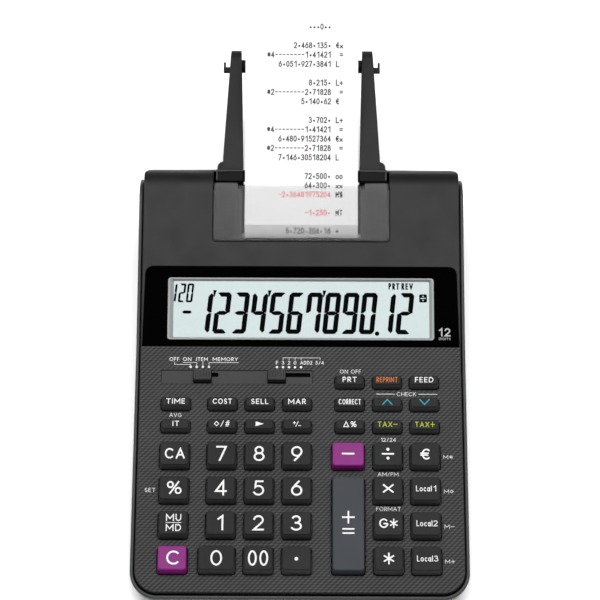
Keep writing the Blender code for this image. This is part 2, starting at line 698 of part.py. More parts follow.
KEYS = key_list()
lower_case()
upper_case()
for item in KEYS:
    key_cap(item)
slide_switch("knob_mode", MODE_SWITCH_X)
slide_switch("knob_decimal", DECIMAL_SWITCH_X)
keyboard_layers()
display()
printer_frame()
roller("print_drum", DRUM, DRUM_HALF_LENGTH, STEEL, 24, 0.4)
roller("feed_roller", PLATEN, PLATEN_HALF_LENGTH, RUBBER, 24)
roller("ink_roller", INK_ROLLER, DRUM_HALF_LENGTH, INK_PURPLE, 20)
printer_cover()
paper_roll()
paper_tape()
roll_holder()
battery_cover()
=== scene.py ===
"""Visual model of a printing desk calculator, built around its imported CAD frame.

Lengths are millimetres in the case's own frame: x to the right, y back from the front
edge of the case and z up from the table. place() turns them into the row frame.
"""
import math

import bmesh
import bpy
from mathutils import Matrix, Vector


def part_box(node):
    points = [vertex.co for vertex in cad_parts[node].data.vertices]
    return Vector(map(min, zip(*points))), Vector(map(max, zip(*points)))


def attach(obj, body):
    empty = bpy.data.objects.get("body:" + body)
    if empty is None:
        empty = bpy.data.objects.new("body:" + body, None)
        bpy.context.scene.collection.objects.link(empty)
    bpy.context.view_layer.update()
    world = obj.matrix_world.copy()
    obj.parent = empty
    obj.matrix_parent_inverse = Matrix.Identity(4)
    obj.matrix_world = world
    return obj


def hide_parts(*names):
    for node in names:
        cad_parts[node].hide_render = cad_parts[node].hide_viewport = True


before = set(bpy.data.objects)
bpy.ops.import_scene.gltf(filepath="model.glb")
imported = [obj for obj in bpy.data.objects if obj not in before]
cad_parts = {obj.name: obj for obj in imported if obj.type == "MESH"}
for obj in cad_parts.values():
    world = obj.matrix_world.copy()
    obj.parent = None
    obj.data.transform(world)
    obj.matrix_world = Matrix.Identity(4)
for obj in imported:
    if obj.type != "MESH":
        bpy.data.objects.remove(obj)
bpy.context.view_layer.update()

MM = 0.001
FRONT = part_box("lower_case")[0].y          # row-frame y of the front edge of the case


def place(x, y, z):
    return Vector((x * MM, FRONT + y * MM, z * MM))


# ---- decks

class Deck:
    """A flat sloped face of the case, with s along the slope and n along its normal."""

    def __init__(self, y, z, degrees):
        self.y, self.z = y, z
        self.sin, self.cos = math.sin(math.radians(degrees)), math.cos(math.radians(degrees))

    def at(self, x, s, n=0):
        return place(x, self.y + s * self.cos - n * self.sin, self.z + s * self.sin + n * self.cos)

    def local(self, point):
        """x, s and n of a point of the row frame."""
        y, z = (point.y - FRONT) / MM - self.y, point.z / MM - self.z
        return point.x / MM, y * self.cos + z * self.sin, z * self.cos - y * self.sin

    def height(self, y):
        return self.z + (y - self.y) * self.sin / self.cos

    def s_at(self, y):
        return (y - self.y) / self.cos

    def extent(self, node):
        """Lowest and highest x, s and n of a CAD node."""
        points = [self.local(v.co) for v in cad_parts[node].data.vertices]
        return [(min(p[i] for p in points), max(p[i] for p in points)) for i in range(3)]


DISPLAY_Y, PRINTER_Y, RIDGE_Y, REAR_Y = 128.3, 168.7, 207, 225
KEYS = Deck(0, 14.2, 7.5)
DISPLAY = Deck(DISPLAY_Y, KEYS.height(DISPLAY_Y), 14)
PRINTER = Deck(PRINTER_Y, DISPLAY.height(PRINTER_Y), 16)
RIDGE_RADIUS = 14
RIDGE = (RIDGE_Y + RIDGE_RADIUS * PRINTER.sin, PRINTER.height(RIDGE_Y) - RIDGE_RADIUS * PRINTER.cos)
HALF_WIDTH = 82.5
CORNER, REAR_CORNER, MIN_CORNER = 13.5, 8, 1.5
RIM_DROP, RIM_WIDTH, RIM_TURN_Y, RIM_REAR_Z = 1.6, 1.6, 205, 24
TOP_INSET, DECK_THICKNESS, FLOOR_Z = 2.3, 2.3, (2.2, 4.8)
SIDES = (-1, 1)

# Strip of the two switches, and their slots.
STRIP_X, STRIP_S, STRIP_DEPTH = (-69.3, 5.9), (109.3, 116.4), 0.6
SLOTS_X, SLOT_S = ((-52.8, -41), (-14.4, 4.9)), (113, 115.3)

# Display: bezel, glass and the panel of segments under it.
BEZEL_X, BEZEL_S = (-67, 67), (3.2, 35.5)
GLASS_X, GLASS_S, GLASS_N = (-64.2, 64.7), (4.5, 34), -1.35
LCD_X, LCD_S = 67.6, (1.8, 36.6)

# Bay of the printer, its cover with hinge pins, and the clear strip that holds the tape down.
BAY_X, BAY_FRONT, BAY_REAR, LEDGE_X, LEDGE_DROP = 44.9, 180.9, 219.5, 43.9, 2
COVER_X, COVER_FRONT, COVER_REAR, COVER_THICKNESS = 44.5, 181.5, 209.3, 1.5
EAR_X, EAR_Y = 32.2, 210.8
HINGE = (COVER_FRONT + 1 + 0.75 * PRINTER.sin, PRINTER.height(COVER_FRONT + 1) - 0.75 * PRINTER.cos)
PIN, PIN_BORE = 0.45, 0.56
GUIDE_S = (15.3, 22)

# Rollers: y and z of the axis, and radius.
PLATEN, DRUM, INKER = (192.5, 30, 8), (176.6, 28, 7), (166, 21.6, 5)
PLATEN_HALF, DRUM_HALF, SHAFT_X, SHAFT = 29.3, 27.5, 36.2, 1.5

# Paper roll, tape and the arms of the holder; each arm has its face at the root and at the tip.
ROLL, ROLL_RADIUS, CORE_RADIUS = (280, 56), 24, 6
TAPE_HALF, TAPE_THICK, TAPE_END_Y = 28.75, 0.2, 291.95
ARM_INNER, ARM_OUTER, ARM_TIP = (29.7, 31.2), (40.2, 36.9), 8.2

# Rear and underside. SOCKET: x and z of the middle, width, height and y of its inner end.
GAP = 0.3
INLET_Z, INLET_X = (30.6, 37.6), 31
BATTERY_X, BATTERY_Y, BATTERY_TOP = 54.3, (122.7, 159), 19
SOCKET = (-58, 12, 8, 7, 211.5)
SCREWS = [(-66, 60), (66, 60), (-66, 172), (66, 172), (0, 40), (0, 205)]


def deck_height(y):
    if y <= DISPLAY_Y:
        return KEYS.height(y)
    if y <= PRINTER_Y:
        return DISPLAY.height(y)
    if y <= RIDGE_Y:
        return PRINTER.height(y)
    return RIDGE[1] + math.sqrt(RIDGE_RADIUS ** 2 - (y - RIDGE[0]) ** 2)


def rim_height(y, inset):
    if y <= RIM_TURN_Y:
        return deck_height(y) - RIM_DROP
    reach = min(1, (y - RIM_TURN_Y) / (REAR_Y - inset - RIM_TURN_Y))
    rise = deck_height(RIM_TURN_Y) - RIM_DROP - RIM_REAR_Z
    return RIM_REAR_Z + rise * math.sqrt(1 - reach ** 2)


# ---- outlines

def arc(cx, cy, rx, ry, start, end, steps=None):
    """Points along an elliptical arc, angles in degrees."""
    steps = steps or max(2, round(abs(end - start) / 18))
    angles = [math.radians(start + (end - start) * i / steps) for i in range(steps + 1)]
    return [(cx + rx * math.cos(a), cy + ry * math.sin(a)) for a in angles]


def rounded(x, y, radius, steps=6, sides=1):
    """Anticlockwise outline of the rectangle x[0]..x[1], y[0]..y[1] with round corners."""
    (x0, x1), (y0, y1), r = x, y, radius
    corners = [arc(x1 - r, y0 + r, r, r, -90, 0, steps), arc(x1 - r, y1 - r, r, r, 0, 90, steps),
               arc(x0 + r, y1 - r, r, r, 90, 180, steps), arc(x0 + r, y0 + r, r, r, 180, 270, steps)]
    outline = []
    for corner, after in zip(corners, corners[1:] + corners[:1]):
        outline += corner
        (ax, ay), (bx, by) = corner[-1], after[0]
        outline += [(ax + (bx - ax) * i / sides, ay + (by - ay) * i / sides) for i in range(1, sides)]
    return outline


def mirrored(right):
    """Close the right half of an outline, listed from front to rear, with its mirror image."""
    return right + [(-x, y) for x, y in reversed(right)]


def circle(cx, cy, radius, steps=24):
    return arc(cx, cy, radius, radius, 0, 360, steps)[:-1]


def stack(at, outline, levels):
    """Loops for a loft, one per level; at(a, b, level) gives the place of an outline's point."""
    return [[at(a, b, level) for a, b in outline] for level in levels]


def levelled(at, outline_at, levels):
    """The same, where each level also lists what its own outline is made from."""
    return [[at(a, b, level) for a, b in outline_at(*sizes)] for level, *sizes in levels]


def across(y, z, x):
    """Place of a point of an outline drawn in y and z; levels are at x."""
    return place(x, y, z)


def back(x, z, y):
    """Place of a point of an outline drawn in x and z; levels are at y."""
    return place(x, y, z)


# ---- meshes

class Shape:
    """A mesh in the making. Points are row-frame vectors; faces take the current material."""

    def __init__(self):
        self.bm = bmesh.new()
        self.material = 0

    def face(self, verts):
        face = self.bm.faces.new(verts)
        face.material_index = self.material
        return face

    def loft(self, loops, ring=False, caps=True):
        rows = [[self.bm.verts.new(p) for p in loop] for loop in loops]
        pairs = list(zip(rows, rows[1:])) + ([(rows[-1], rows[0])] if ring else [])
        faces = []
        for low, high in pairs:
            for i, vert in enumerate(low):
                j = (i + 1) % len(low)
                faces.append(self.face((vert, low[j], high[j], high[i])))
        if caps and not ring:
            faces += [self.face(rows[0][::-1]), self.face(rows[-1])]
        return faces

    def fan(self, loop, centre):
        """Close a loop with triangles round a centre point."""
        verts = [self.bm.verts.new(p) for p in loop]
        middle = self.bm.verts.new(centre)
        for i, vert in enumerate(verts):
            self.face((vert, verts[(i + 1) % len(verts)], middle))

    def slab(self, at, outline, levels, bevel=0, angle=30):
        """One outline lofted through the levels, with sharp edges rounded off if a bevel is given."""
        if bevel:
            self.bevelled(stack(at, outline, levels), bevel, 2, angle)
        else:
            self.loft(stack(at, outline, levels))

    def tiers(self, at, outline_at, levels, **options):
        self.loft(levelled(at, outline_at, levels), **options)

    def bevelled(self, loops, width, segments=3, angle=30):
        """A loft whose sharp edges are rounded off."""
        faces = self.loft(loops)
        edges = {e for f in faces for e in f.edges}
        sharp = [e for e in edges if e.calc_face_angle(0) > math.radians(angle)]
        bmesh.ops.bevel(self.bm, geom=sharp, offset=width * MM, segments=segments, profile=0.5,
                        affect="EDGES", clamp_overlap=True, material=-1)

    def turned(self, axis, profile, segments=48, **options):
        """A piece turned on an axis along X: profile lists x and radius."""
        self.tiers(across, lambda radius: circle(*axis, radius, segments), profile, **options)

    def upright(self, x, y, profile, segments=32, **options):
        """A piece turned on a vertical axis: profile lists z and radius."""
        self.tiers(place, lambda radius: circle(x, y, radius, segments), profile, **options)


def link(name, mesh):
    obj = bpy.data.objects.new(name, mesh)
    bpy.context.scene.collection.objects.link(obj)
    return obj


def to_mesh(name, shape, materials):
    bmesh.ops.remove_doubles(shape.bm, verts=shape.bm.verts, dist=1e-7)
    bmesh.ops.recalc_face_normals(shape.bm, faces=shape.bm.faces)
    mesh = bpy.data.meshes.new(name)
    shape.bm.to_mesh(mesh)
    shape.bm.free()
    for key in materials.split():
        mesh.materials.append(M[key])
    return mesh


def piece(name, source, materials, body, replaces=(), smooth=32):
    """Make a shown piece from a Shape, or from a mesh that is ready."""
    mesh = source if isinstance(source, bpy.types.Mesh) else to_mesh(name, source, materials)
    mesh.polygons.foreach_set("use_smooth", [True] * len(mesh.polygons))
    mesh.set_sharp_from_angle(angle=math.radians(smooth))
    obj = link(name, mesh)
    normals = obj.modifiers.new("weighted_normal", "WEIGHTED_NORMAL")
    normals.keep_sharp = True
    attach(obj, body)
    if replaces:
        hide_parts(*replaces)


def carve(name, shape, cutters, materials):
    """Mesh of a shape after exact Booleans with a list of (operation, cutter shape)."""
    obj = link(name + "_blank", to_mesh(name, shape, materials))
    tools = []
    for operation, cutter in cutters:
        tool = link(name + "_tool", to_mesh(name + "_tool", cutter, materials))
        tools.append(tool)
        modifier = obj.modifiers.new(operation, "BOOLEAN")
        modifier.operation, modifier.solver, modifier.object = operation, "EXACT", tool
    bpy.context.view_layer.update()
    graph = bpy.context.evaluated_depsgraph_get()
    mesh = bpy.data.meshes.new_from_object(obj.evaluated_get(graph))
    mesh.name = name
    for item in [obj, *tools]:
        bpy.data.objects.remove(item)
    return mesh


# ---- materials

class Look:
    """A new material, with the nodes that feed its principled shader from object space."""

    def __init__(self, name):
        self.material = bpy.data.materials.new(name)
        self.material.use_nodes = True
        self.nodes, self.links = self.material.node_tree.nodes, self.material.node_tree.links
        self.shader = self.nodes["Principled BSDF"]
        self.space = self.nodes.new("ShaderNodeTexCoord").outputs["Object"]

    def feed(self, socket, value):
        if isinstance(value, bpy.types.NodeSocket):
            self.links.new(value, socket)
        else:
            socket.default_value = value

    def node(self, kind, output, inputs, **settings):
        """Add a node and return one output; an input is a socket to link, or a value."""
        node = self.nodes.new("ShaderNode" + kind)
        for name, value in settings.items():
            setattr(node, name, value)
        for name, value in inputs.items():
            self.feed(node.inputs[name], value)
        return node.outputs[output]

    def noise(self, scale, detail=3, roughness=0.55, space=None):
        return self.node("TexNoise", "Fac", {"Vector": space or self.space, "Scale": scale,
                                             "Detail": detail, "Roughness": roughness})

    def spread(self, value, low, high):
        """Map a noise value to the range low..high."""
        return self.node("MapRange", "Result", {"Value": value, "From Min": 0.3, "From Max": 0.7,
                                                "To Min": low, "To Max": high})

    def sums(self, operation, *values):
        return self.node("Math", "Value", dict(enumerate(values)), operation=operation)

    def axis(self, name):
        return self.node("SeparateXYZ", name, {"Vector": self.space})

    def colour(self, factor, low, high):
        """Base colour, blended from low to high."""
        blend = self.node("Mix", "Result", {"Factor": factor, "A": (*low, 1), "B": (*high, 1)},
                          data_type="RGBA")
        self.set({"Base Color": blend})

    def tint(self, factor, colour, low, high):
        """Base colour that varies in brightness, from low to high times the colour."""
        self.colour(factor, *(tuple(min(1, c * f) for c in colour) for f in (low, high)))

    def bump(self, height, distance, strength=1):
        self.set({"Normal": self.node("Bump", "Normal", {"Distance": distance * MM, "Strength": strength,
                                                         "Height": height})})

    def set(self, inputs):
        for name, value in inputs.items():
            self.feed(self.shader.inputs[name], value)


def plastic(name, colour, roughness=0.5, grain=0.35, grain_depth=0.02, vary=0.12, specular=0.2):
    """Moulded plastic: spark-eroded grain, slow colour drift and uneven gloss."""
    look = Look(name)
    look.tint(look.spread(look.noise(22), 0, 1), colour, 1 - vary, 1 + vary)
    look.set({"Roughness": look.spread(look.noise(90, 4), roughness - 0.06, roughness + 0.06),
              "Specular IOR Level": specular})
    look.bump(look.noise(1 / (grain * MM), 2), grain_depth)
    return look.material


def weave(name, colour, raised, pitch=2.55, row=1.28):
    """Deck plastic embossed with short slanted dashes in staggered rows, its colour following the emboss:
    painted shade in the grooves and painted highlight on the raised dashes.
    """
    look = Look(name)
    sums, turn = look.sums, 2 * math.pi / MM
    columns = sums("MULTIPLY", look.axis("X"), turn / pitch)
    rows = sums("MULTIPLY", look.axis("Y"), turn / row)
    slanted = sums("COSINE", sums("SUBTRACT", columns, sums("MULTIPLY", rows, 0.5)))
    dashes = sums("ADD", sums("MULTIPLY", slanted, 0.27), sums("MULTIPLY", sums("COSINE", rows), 0.23))
    ridge = sums("ADD", dashes, 0.5)
    drift = look.spread(look.noise(22), 0, 0.1)
    # Base colour runs from the dark groove colour to the light raised colour with the emboss height: painted
    # shade and painted highlight of the emboss.
    look.colour(sums("ADD", sums("MULTIPLY", sums("POWER", ridge, 1.5), 0.9), drift), colour, raised)
    look.set({"Roughness": look.spread(look.noise(90), 0.46, 0.58), "Specular IOR Level": 0.1})
    look.bump(sums("ADD", ridge, sums("MULTIPLY", look.noise(2600, 2), 0.25)), 0.08, 0.8)
    return look.material


def paper(name, colour):
    """Bond paper: fibres, faint mottling and a matt face."""
    look = Look(name)
    fibres = look.noise(1800, 5, 0.7)
    look.tint(look.spread(look.noise(160, 4), 0, 1), colour, 0.97, 1.02)
    look.set({"Roughness": look.spread(fibres, 0.78, 0.92)})
    look.bump(fibres, 0.02)
    return look.material


def wound_paper(name, dark, light, ring=0.45):
    """End faces of a paper roll: fine rings round its axis."""
    look = Look(name)
    sums, centre = look.sums, place(0, *ROLL)
    squares = [sums("POWER", sums("SUBTRACT", look.axis(a), c), 2)
               for a, c in (("Y", centre.y), ("Z", centre.z))]
    rings = sums("SINE", sums("MULTIPLY", sums("SQRT", sums("ADD", *squares)), 2 * math.pi / (ring * MM)))
    level = sums("ADD", sums("MULTIPLY", rings, 0.25), look.noise(320, 4))
    look.colour(look.spread(level, 0, 1), dark, light)
    look.set({"Roughness": 0.9})
    look.bump(level, 0.08)
    return look.material


def metal(name, colour, roughness=0.35, streaks=(1, 14, 14)):
    """Rolled or machined metal with fine streaks along X."""
    look = Look(name)
    lines = look.noise(120, 4, space=look.node("Mapping", "Vector", {"Scale": streaks, "Vector": look.space}))
    look.tint(lines, colour, 0.85, 1.1)
    look.set({"Roughness": look.spread(lines, roughness - 0.08, roughness + 0.1), "Metallic": 1})
    look.bump(lines, 0.01)
    return look.material


def glassy(name, colour, alpha, roughness=0.06):
    """Smoked clear moulding with a polished face and a slight swirl in its tint."""
    look = Look(name)
    swirl = look.noise(28, 2)
    look.tint(swirl, colour, 0.92, 1.08)
    look.set({"Roughness": look.spread(swirl, roughness * 0.7, roughness * 1.4), "Alpha": alpha})
    look.material.surface_render_method = "BLENDED"
    return look.material


def lcd_face(name, colour):
    """Reflective display glass with a faint pearl texture behind it."""
    look = Look(name)
    look.tint(look.spread(look.noise(700), 0, 1), colour, 0.98, 1.02)
    look.set({"Roughness": look.spread(look.noise(60), 0.28, 0.36)})
    return look.material


KEY_GRAIN = dict(grain=0.3, grain_depth=0.014)
COLOURED_GRAIN = dict(grain=0.3, grain_depth=0.012, vary=0.06)
M = {
    # Dark groove colour and light raised colour of the weave: painted shade and painted highlight of the
    # emboss.
    "weave": weave("deck_weave", (0.0035, 0.0035, 0.0037), (0.054, 0.054, 0.0555)),
    "shell": plastic("shell_plastic", (0.0072, 0.0072, 0.0074), 0.4, specular=0.13),
    "strip": plastic("strip_plastic", (0.021, 0.021, 0.0215), 0.48, grain_depth=0.01, specular=0.14),
    # Lower case plastic; it is also used for the painted highlight strips on the arm roots.
    "base": plastic("base_plastic", (0.027, 0.027, 0.0275), 0.42),
    "key": plastic("key_plastic", (0.0135, 0.0135, 0.014), 0.42, specular=0.05, **KEY_GRAIN),
    # Lighter copy of the key plastic for the side walls of the black keys: painted light on the key sides,
    # which the lamps leave darker.
    "key_side": plastic("key_side", (0.046, 0.046, 0.047), 0.5, specular=0.05, **KEY_GRAIN),
    "purple": plastic("key_purple", (0.148, 0.012, 0.122), 0.4, specular=0.1, **COLOURED_GRAIN),
    "slate": plastic("key_slate", (0.028, 0.031, 0.036), 0.4, specular=0.08, **COLOURED_GRAIN),
    "knob": plastic("knob_plastic", (0.013, 0.013, 0.0135)),
    # Near-black plastic; under the switch slots it also serves as a plate of painted shade.
    "root": plastic("root_plastic", (0.0045, 0.0045, 0.0046), specular=0.04),
    "holder": plastic("holder_plastic", (0.0125, 0.0125, 0.0128), 0.45, specular=0.08),
    "print_black": plastic("print_black", (0.03, 0.03, 0.032), 0.8, grain_depth=0.004),
    "print_red": plastic("print_red", (0.56, 0.17, 0.18), 0.8, grain_depth=0.004),
    "panel": plastic("display_panel", (0.0006, 0.0006, 0.0007), 0.05, 2.5, 0, 0.1, 0),
    "bezel": plastic("display_bezel", (0.20, 0.212, 0.21), 0.4, grain_depth=0.006, vary=0.04),
    "lcd": lcd_face("lcd_glass", (0.292, 0.349, 0.351)),
    "segment": plastic("lcd_segment", (0.002, 0.002, 0.0025), grain_depth=0, vary=0.05, specular=0),
    "smoke": glassy("smoked_clear", (0.13, 0.129, 0.136), 0.105),
    "guide": glassy("smoked_guide", (0.10, 0.10, 0.10), 0.125, 0.2),
    "steel": metal("plated_steel", (0.42, 0.43, 0.45)),
    "brass": metal("brass", (0.62, 0.45, 0.2)),
    "rubber": plastic("roller_rubber", (0.022, 0.022, 0.022), 0.75, 0.2, 0.03),
    "felt": plastic("ink_felt", (0.05, 0.012, 0.06), 0.95, 0.25, 0.12, 0.3),
    "drum": plastic("drum_plastic", (0.19, 0.19, 0.2), 0.45),
    "board": plastic("board_mask", (0.012, 0.11, 0.035), 0.35, 1.2, 0.03),
    "membrane": plastic("membrane_rubber", (0.38, 0.38, 0.38), 0.7),
    "paper": paper("tape_paper", (0.60, 0.60, 0.598)),
    "cut_paper": wound_paper("wound_paper", (0.7, 0.69, 0.67), (0.88, 0.88, 0.86)),
    "card": plastic("core_card", (0.3, 0.22, 0.13), 0.85, 0.5, 0.05, 0.15),
    "cell": plastic("cell_jacket", (0.03, 0.06, 0.16), 0.3, vary=0.05),
}
for ink, colour, vary in (("ink_white", (0.56, 0.56, 0.56), 0.02), ("ink_grey", (0.30, 0.30, 0.30), 0.02),
                          ("ink_orange", (0.40, 0.105, 0.018), 0.03), ("ink_teal", (0.022, 0.22, 0.25), 0.03),
                          ("ink_lime", (0.25, 0.30, 0.028), 0.03)):
    M[ink] = plastic(ink, colour, 0.55, grain_depth=0.004, vary=vary, specular=0.1)


# ---- strokes and lettering

# Stroke font. Each line has a letter, its width as a share of its height, and its strokes in a
# unit box. A point is x,y and an arc is x,y of its centre, two radii, start and end angle.
FONT = """
0 .7 .5,.5,.5,.5,90,450
1 .3 0,.78 1,1 1,0
2 .66 .5,.71,.47,.29,165,-38 0,0 1,0
3 .64 .46,.76,.42,.24,150,-90 .4,.52 | .4,.52 .46,.26,.54,.26,90,-150
4 .72 .74,0 .74,1 0,.26 1,.26
5 .64 .92,1 .2,1 .1,.56 .46,.33,.54,.33,128,-150
6 .68 .5,.33,.5,.33,90,450 | .72,1 .3,.7 .06,.46
7 .64 0,1 1,1 .32,0
8 .66 .5,.76,.4,.24,90,450 | .5,.27,.5,.27,90,450
9 .68 .5,.67,.5,.33,90,450 | .28,0 .7,.3 .94,.54
A .92 0,0 .5,1 1,0 | .2,.34 .8,.34
C .88 .56,.5,.56,.5,48,312
D .8 0,0 0,1 .4,1 .4,.5,.6,.5,90,-90 0,0
E .54 1,1 0,1 0,0 1,0 | 0,.52 .9,.52
F .52 1,1 0,1 0,0 | 0,.5 .9,.5
G .94 .52,.5,.52,.5,46,350 1,.46 .56,.46
H .76 0,0 0,1 | 1,0 1,1 | 0,.5 1,.5
I .04 .5,0 .5,1
K .66 0,0 0,1 | .95,1 0,.4 | .32,.6 1,0
L .5 0,1 0,0 1,0
M 1.1 0,0 0,1 .5,.3 1,1 1,0
N .8 0,0 0,1 1,0 1,1
O 1 .5,.5,.5,.5,90,450
P .58 0,0 0,1 .5,1 .5,.74,.5,.26,90,-90 0,.48
R .62 0,0 0,1 .5,1 .5,.74,.46,.26,90,-90 0,.48 | .42,.48 1,0
S .58 .5,.75,.42,.25,38,270 .5,.25,.5,.25,90,-142
T .74 0,1 1,1 | .5,1 .5,0
U .74 0,1 0,.38 .5,.38,.5,.38,180,360 1,1
V .86 0,1 .5,0 1,1
X .8 0,0 1,1 | 0,1 1,0
Y .84 0,1 .5,.46 1,1 | .5,.46 .5,0
a .56 .46,.33,.46,.33,90,450 | 1,.68 1,0
c .5 .56,.33,.56,.33,48,312
l .04 .5,0 .5,1
o .62 .5,.33,.5,.33,90,450
+ .9 0,.5 1,.5 | .5,0 .5,1
- .8 0,.5 1,.5
= .8 0,.66 1,.66 | 0,.34 1,.34
x .7 0,.1 1,.9 | 0,.9 1,.1
% .98 .2,.76,.2,.24,90,450 | .8,.24,.2,.24,90,450 | .82,1 .18,0
/ .5 0,0 1,1
# .74 .16,0 .44,1 | .56,0 .84,1 | .06,.32 .86,.32 | .14,.68 .94,.68
* .9 .5,0 .5,1 | .07,.25 .93,.75 | .07,.75 .93,.25
€ .86 .62,.5,.46,.5,52,308 | 0,.6 .8,.6 | 0,.4 .74,.4
Δ .95 0,0 .5,1 1,0 0,0
◇ .8 .5,.9 1,.5 .5,.1 0,.5 .5,.9
∧ 1.8 0,0 .5,1 1,0
∨ 1.8 0,1 .5,0 1,1
· .3 .5,.45
• .3
– .3 0,.5 1,.5
♯ .4 .25,.2 .25,.8 | .75,.2 .75,.8 | 0,.36 1,.36 | 0,.64 1,.64
⁺ .5 0,.42 1,.42 | .5,.12 .5,.72
ₓ .46 0,0 1,.5 | 0,.5 1,0
"""


def read_glyph(line):
    char, width, *rest = line.split(" ", 2)
    strokes = [[tuple(map(float, item.split(","))) for item in stroke.split()]
               for stroke in " ".join(rest).split("|")]
    return char, (float(width), strokes if rest else [])


GLYPHS = {" ": (0.5, []), **dict(map(read_glyph, FONT.split("\n")[1:-1]))}


def glyph_points(stroke):
    """Points of one stroke in its unit box, with arcs written out."""
    return [point for item in stroke for point in (arc(*item) if len(item) > 2 else [item])]


def resampled(points, step):
    """The same line with no part of it longer than step."""
    out = [points[0]]
    for a, b in zip(points, points[1:]):
        parts = max(1, math.ceil((b - a).length / step))
        out += [a.lerp(b, i / parts) for i in range(1, parts + 1)]
    return out


def line_sides(points, half, closed):
    """Left and right edges of a line of the given half width, mitred at its corners."""
    left, right = [], []
    count = len(points)
    for i, point in enumerate(points):
        into = points[i] - points[i - 1] if closed or i > 0 else points[1] - points[0]
        out = points[(i + 1) % count] - point if closed or i < count - 1 else into
        into, out = into.normalized(), out.normalized()
        normal = Vector((-into.y - out.y, into.x + out.x))
        normal = normal.normalized() if normal.length > 1e-6 else Vector((-into.y, into.x))
        reach = half / max(0.4, normal.dot(Vector((-into.y, into.x))))
        left.append(point + normal * reach)
        right.append(point - normal * reach)
    return left, right


INK = (-0.05, 0.03)            # bottom and top of printed ink, about the surface it is on


def ink_line(shape, points, width, surface, lift=0, step=1.1):
    """A raised line of ink along 2-D points; surface(x, s, n) gives the place of each point."""
    points = [Vector(p) for p in points]
    if len(points) == 1 or all((p - points[0]).length < 1e-6 for p in points):
        ink_patch(shape, circle(*points[0], width * 0.62, 12), surface, lift)
        return
    closed = (points[0] - points[-1]).length < 1e-6
    if not closed:                       # square ends
        points[0] = points[0] + (points[0] - points[1]).normalized() * width / 2
        points[-1] = points[-1] + (points[-1] - points[-2]).normalized() * width / 2
    points = resampled(points, step)
    if closed:
        points = points[:-1]
    left, right = line_sides(points, width / 2, closed)
    low, high = INK[0], INK[1] + lift
    shape.loft([[surface(*a, high), surface(*b, high), surface(*b, low), surface(*a, low)]
                for a, b in zip(left, right)], ring=closed)


def ink_patch(shape, outline, surface, lift=0, low=INK[0], high=INK[1]):
    """A filled shape of ink."""
    shape.loft([[surface(x, s, n) for x, s in outline] for n in (low, high + lift)])


def lettering(shape, text, surface, x, s, height, stroke, width=None, gap=0.16, pitch=None):
    """Write text centred at x, s. A given width squeezes the letters; a pitch spaces them evenly."""
    sizes = [GLYPHS[c][0] * (height - stroke) + stroke for c in text]
    space = gap * height + stroke * 0.5
    total = sum(sizes) + space * (len(text) - 1)
    squeeze = (width / total) if width and not pitch else 1
    cursor = x - total * squeeze / 2
    for i, (char, size) in enumerate(zip(text, sizes)):
        size *= squeeze
        if pitch:
            size = min(size, width)
            cursor = x + (i - len(text)) * pitch + (pitch - size) / 2
        if char == "•":
            ink_patch(shape, circle(cursor + size / 2, s - height * 0.12, stroke * 1.08, 10), surface)
        for j, stroke_items in enumerate(GLYPHS[char][1]):
            points = [(cursor + stroke / 2 + px * (size - stroke),
                       s - height / 2 + stroke / 2 + py * (height - stroke))
                      for px, py in glyph_points(stroke_items)]
            ink_line(shape, points, stroke, surface, lift=0.004 * j)
        cursor += size + space * squeeze


# ---- keys

KEY_FILLET, KEY_GAP, FRONT_GAP, KEY_FLANGE = 0.55, 0.3, 0.75, 0.7
KEY_SIDES = 8                  # parts of each straight side, so that the dished top is smooth
SKIRT_Z, SKIRT_CORNER, SIDE_INSET, SIDE_FRONT, SIDE_REAR = -3.3, 1.5, 0.42, 0.38, -0.18
DISH_RINGS = (0.9, 0.77, 0.62, 0.46, 0.3, 0.14)


class Key:
    """Size and place of a key on the key deck, read from its CAD node."""

    def __init__(self, node):
        (x0, x1), (s0, s1), (_, top) = KEYS.extent(node)
        self.x, self.s, self.top = (x0 + x1) / 2, (s0 + s1) / 2, top
        self.half, self.length = (x1 - x0) / 2 - KEY_FLANGE, (s1 - s0) / 2 - KEY_FLANGE
        self.dish = 0.32 if top > 4 else 0.22
        self.face_half = self.half - 0.92
        face_s = (self.s - self.length + 1.45, self.s + self.length - 0.72)
        self.face_middle = sum(face_s) / 2
        self.face_length = (face_s[1] - face_s[0]) / 2

    def surface(self, x, s, n):
        """A place n above the dished top."""
        u = min(1, abs(x - self.x) / self.face_half)
        v = min(1, abs(s - self.face_middle) / self.face_length)
        return KEYS.at(x, s, self.top - self.dish * (1 - u * u) * (1 - v * v) + n)

    def around(self, side, front, rear, radius, *steps):
        """Plan outline, grown by the given amounts."""
        return rounded((self.x - self.half - side, self.x + self.half + side),
                       (self.s - self.length - front, self.s + self.length + rear), radius, *steps)

    def outline(self, inset, front, rear, radius):
        return self.around(-inset, -inset - front, -inset - rear, radius, 5, KEY_SIDES)

    def cap(self, shape):
        side = self.top - KEY_FILLET
        levels = [(n, 0, 0, 0, SKIRT_CORNER) for n in (SKIRT_Z, 0.3)]
        levels.append((side, SIDE_INSET, SIDE_FRONT, SIDE_REAR, SKIRT_CORNER - 0.05))
        for i in range(1, 5):
            a = math.radians(22.5 * i)
            turn = 1 - math.cos(a)
            levels.append((side + KEY_FILLET * math.sin(a), SIDE_INSET + 0.5 * turn, SIDE_FRONT + 0.15 * turn,
                           SIDE_REAR - 0.005 * i, SKIRT_CORNER - 0.05 - 0.08 * i))
        loops = levelled(KEYS.at, self.outline, levels)
        rim = self.outline(*levels[-1][1:])
        # Material 2 is the side plastic; for the black keys it is the lighter copy, painted light on the
        # skirts and side walls.
        shape.material = 2
        shape.loft(loops[:3], caps=False)
        shape.fan(loops[0][::-1], KEYS.at(self.x, self.s, SKIRT_Z))
        shape.material = 0
        x0, s0 = self.x, self.face_middle
        rings = [[self.surface(x0 + (x - x0) * share, s0 + (s - s0) * share, 0) for x, s in rim]
                 for share in DISH_RINGS]
        shape.loft(loops[2:] + rings, caps=False)
        shape.fan(rings[-1], self.surface(x0, s0, 0))


